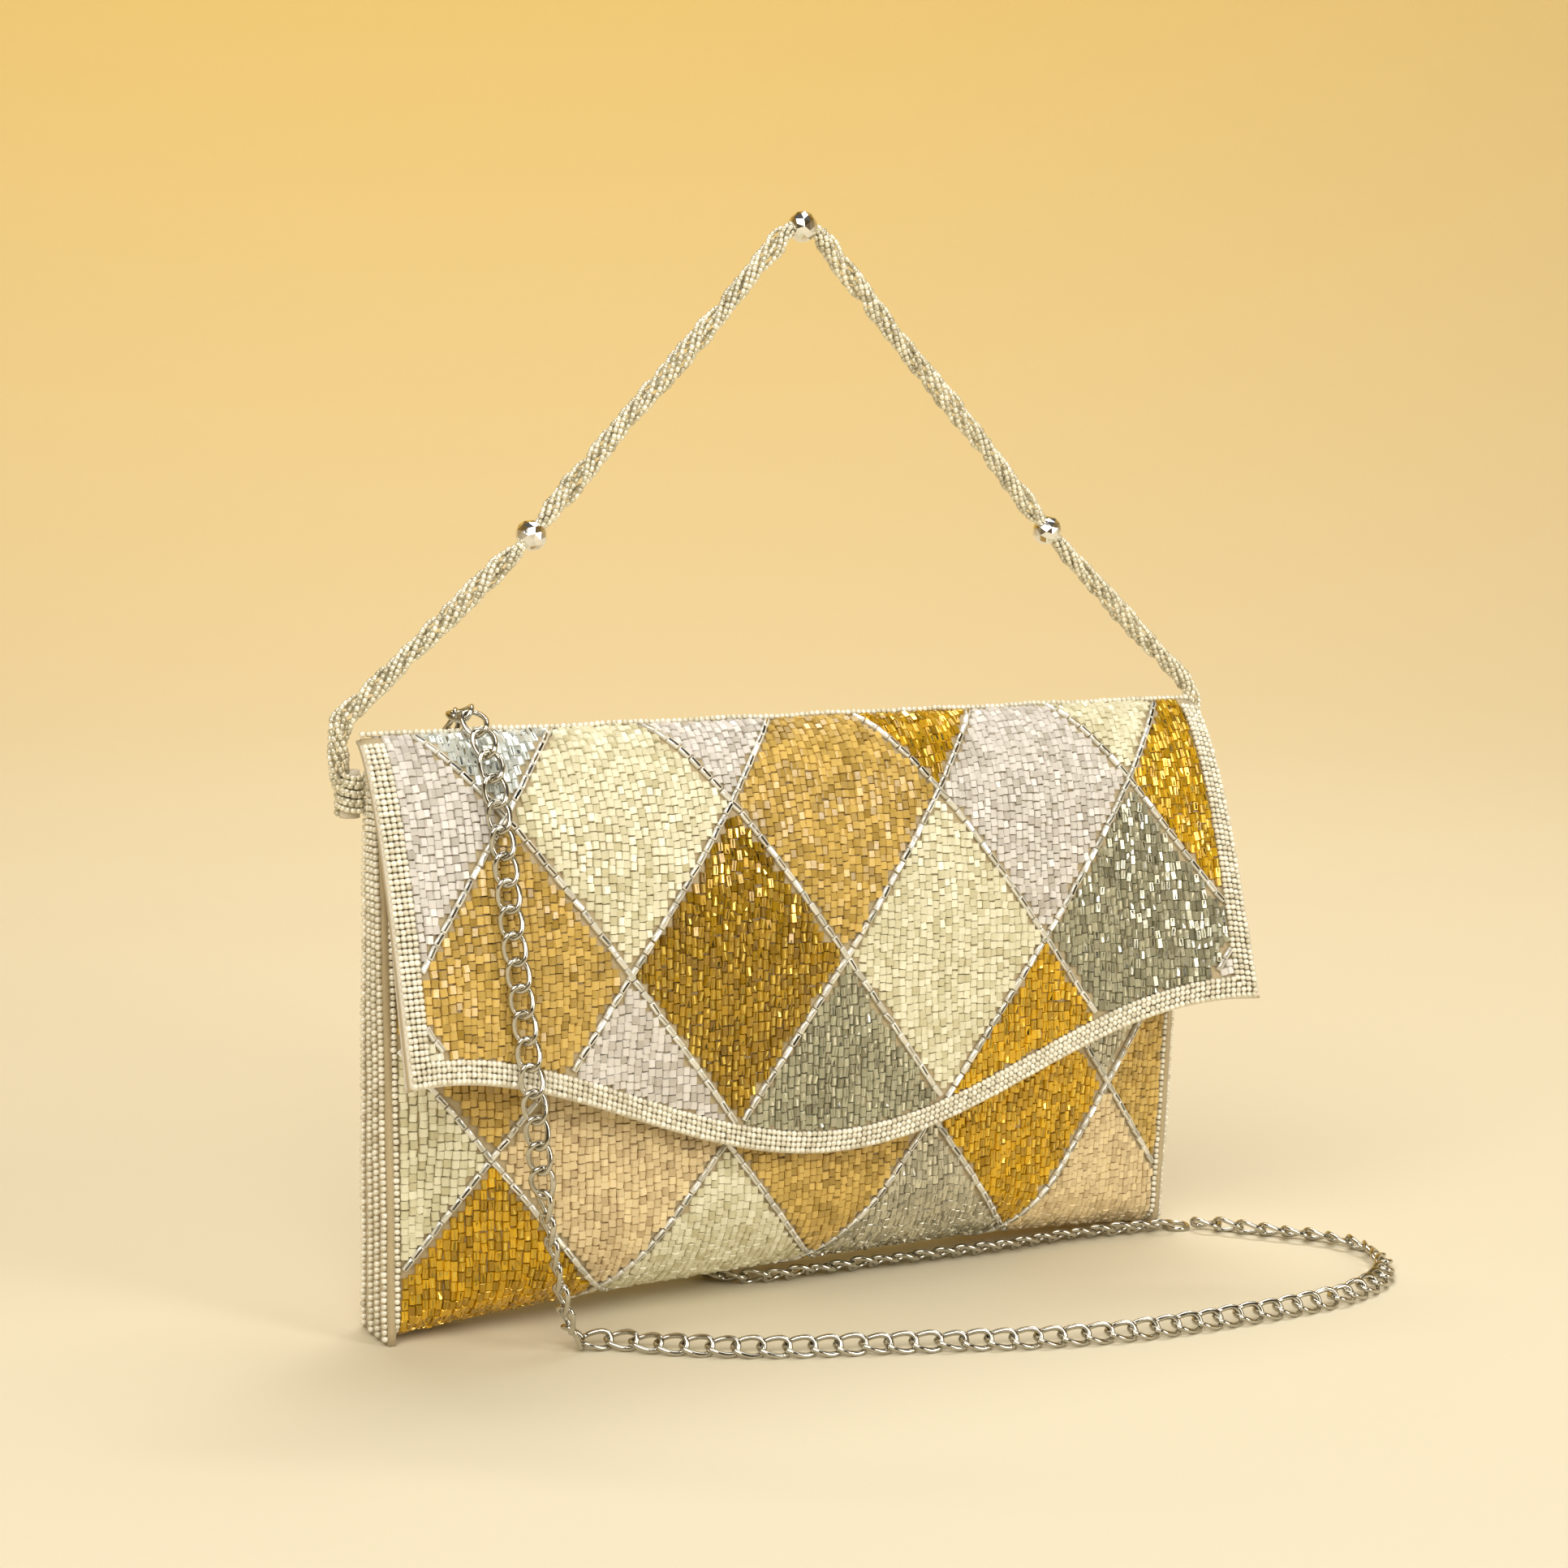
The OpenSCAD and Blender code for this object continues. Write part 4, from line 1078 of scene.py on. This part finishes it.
def ring_tab(side, word):
    low, high = (np.array(c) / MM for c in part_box(f"ring_tab_{word}"))
    bar_y, bar_z = ring_y, 139.0
    radius = high[1] - bar_y
    root_y = float(seam_y(144.0) + wall_out(104.0 / half_w(144.0), 144.0))
    profile = [(root_y + 0.2, 142.6), (root_y + 0.2, 146.4), (root_y + 1.2, 146.5)]
    for a in np.radians(np.arange(70, -211, -20)):
        profile.append((bar_y + radius * math.cos(a), bar_z + radius * math.sin(a)))
    profile = np.array(profile)
    xs = np.linspace(low[0], high[0], 9)
    middle = profile.mean(axis=0)
    points, faces, n = [], [], len(profile)
    for i, x in enumerate(xs):
        puff = 1 - 0.06 * (2 * i / (len(xs) - 1) - 1) ** 6
        points += [(x, *(middle + (p - middle) * puff)) for p in profile]
    for i in range(len(xs) - 1):
        for k in range(n):
            a, b = i * n + k, i * n + (k + 1) % n
            faces.append((a, a + n, b + n, b))
    faces.append(tuple(range(n)))
    faces.append(tuple(range(len(xs) * n - 1, (len(xs) - 1) * n - 1, -1)))
    mesh = mesh_of_faces(f"tab_{word}", np.array(points), faces, smooth=False)
    finish_piece(f"tab_{word}", mesh, edge_look, "purse", [f"ring_tab_{word}"])


ring_tab(-1, "left")
ring_tab(1, "right")

# ---- better surfaces for the CAD pieces that stay

for node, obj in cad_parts.items():
    if obj.hide_render:
        continue
    obj.data.materials.clear()
    if "board" in node:
        obj.data.materials.append(board_look)
    elif node == "chain_ring":
        obj.data.materials.append(chain_look)
    else:
        obj.data.materials.append(hardware_look)

# ---- stage: a round sweep of pale paper, with painted shade on it behind the camera, and soft lights


def distance_along(nodes, links, way):
    """How far a place is along a direction, in metres."""
    where = nodes.new("ShaderNodeTexCoord")
    product = nodes.new("ShaderNodeVectorMath")
    product.operation = "DOT_PRODUCT"
    product.inputs[1].default_value = tuple(way)
    links.new(where.outputs["Object"], product.inputs[0])
    return product.outputs["Value"]


def add_stage():
    radius, bend, top = 1.25, 1.9, 3.6
    profile = [(r, 0.0) for r in (0.0, 0.3, 0.7, 1.2, radius)]
    angles = np.radians(np.arange(6, 91, 6))
    profile += [(radius + bend * math.sin(a), bend * (1 - math.cos(a))) for a in angles]
    profile.append((radius + bend, top))
    sides = 96
    points = []
    for r, z in profile:
        for k in range(sides):
            a = 2 * math.pi * k / sides
            points.append((r * math.cos(a), r * math.sin(a), z))
    mesh = mesh_of_faces("sweep", np.array(points) / MM, band_faces(len(profile), sides))
    mat, nodes, links, shader = new_material("sweep_paper")
    depth = distance_along(nodes, links, AHEAD * 0.9 - ASIDE * 0.25 + ABOVE * 0.7)
    depth = remap(nodes, links, depth, 0, 1, -0.2, 3.6)
    grain = add_noise(nodes, links, 300.0)
    colour = blend_colours(nodes, links, depth, (0.729, 0.670, 0.516), (0.743, 0.521, 0.137))
    # The paper is mixed to a deep grey-brown behind the camera: painted shade of the unlit room
    # there.
    behind = remap(nodes, links, distance_along(nodes, links, -AHEAD), 0, 1, 1.1, 2.6)
    shade_behind_camera = nodes.new("ShaderNodeMix")
    shade_behind_camera.data_type = "RGBA"
    links.new(behind, shade_behind_camera.inputs["Factor"])
    links.new(colour, shade_behind_camera.inputs["A"])
    shade_behind_camera.inputs["B"].default_value = (0.24, 0.21, 0.17, 1)
    links.new(shade_behind_camera.outputs["Result"], shader.inputs["Base Color"])
    add_bump(nodes, links, shader, grain, 0.05, 0.0005)
    shader.inputs["Roughness"].default_value = 0.9
    shader.inputs["Specular IOR Level"].default_value = 0.1
    mesh.materials.append(mat)
    sweep = bpy.data.objects.new("sweep", mesh)
    bpy.context.scene.collection.objects.link(sweep)


def add_light(name, aside, ahead, height, size, power, colour, look_at=(0, 0, 0.10)):
    data = bpy.data.lights.new(name, "AREA")
    data.shape = "RECTANGLE"
    data.size, data.size_y = size
    data.energy = power
    data.color = colour
    light = bpy.data.objects.new(name, data)
    bpy.context.scene.collection.objects.link(light)
    place = Vector(AHEAD * ahead + ASIDE * aside + ABOVE * height)
    aim = Vector(look_at) - place
    turned = aim.to_track_quat("-Z", "Y").to_matrix().to_4x4()
    light.matrix_world = Matrix.Translation(place) @ turned


add_stage()
add_light("key", -0.30, -1.10, 1.10, (1.4, 1.0), 19.1, (1.0, 0.96, 0.88))
add_light("top", 0.25, 0.35, 1.5, (1.1, 0.9), 8.0, (1.0, 0.98, 0.95))
add_light("fill", 1.15, -0.75, 0.6, (0.35, 0.9), 8.5, (1.0, 0.97, 0.92))
add_light("wall", -0.2, 1.0, 2.2, (1.6, 0.6), 42.0, (1.0, 0.97, 0.92),
    tuple(AHEAD * 2.8 + ABOVE * 0.4))
bpy.context.scene.view_settings.view_transform = "Standard"
world = bpy.data.worlds.new("studio")
world.use_nodes = True
world.node_tree.nodes["Background"].inputs["Color"].default_value = (1.0, 0.93, 0.82, 1)
world.node_tree.nodes["Background"].inputs["Strength"].default_value = 0.12
bpy.context.scene.world = world
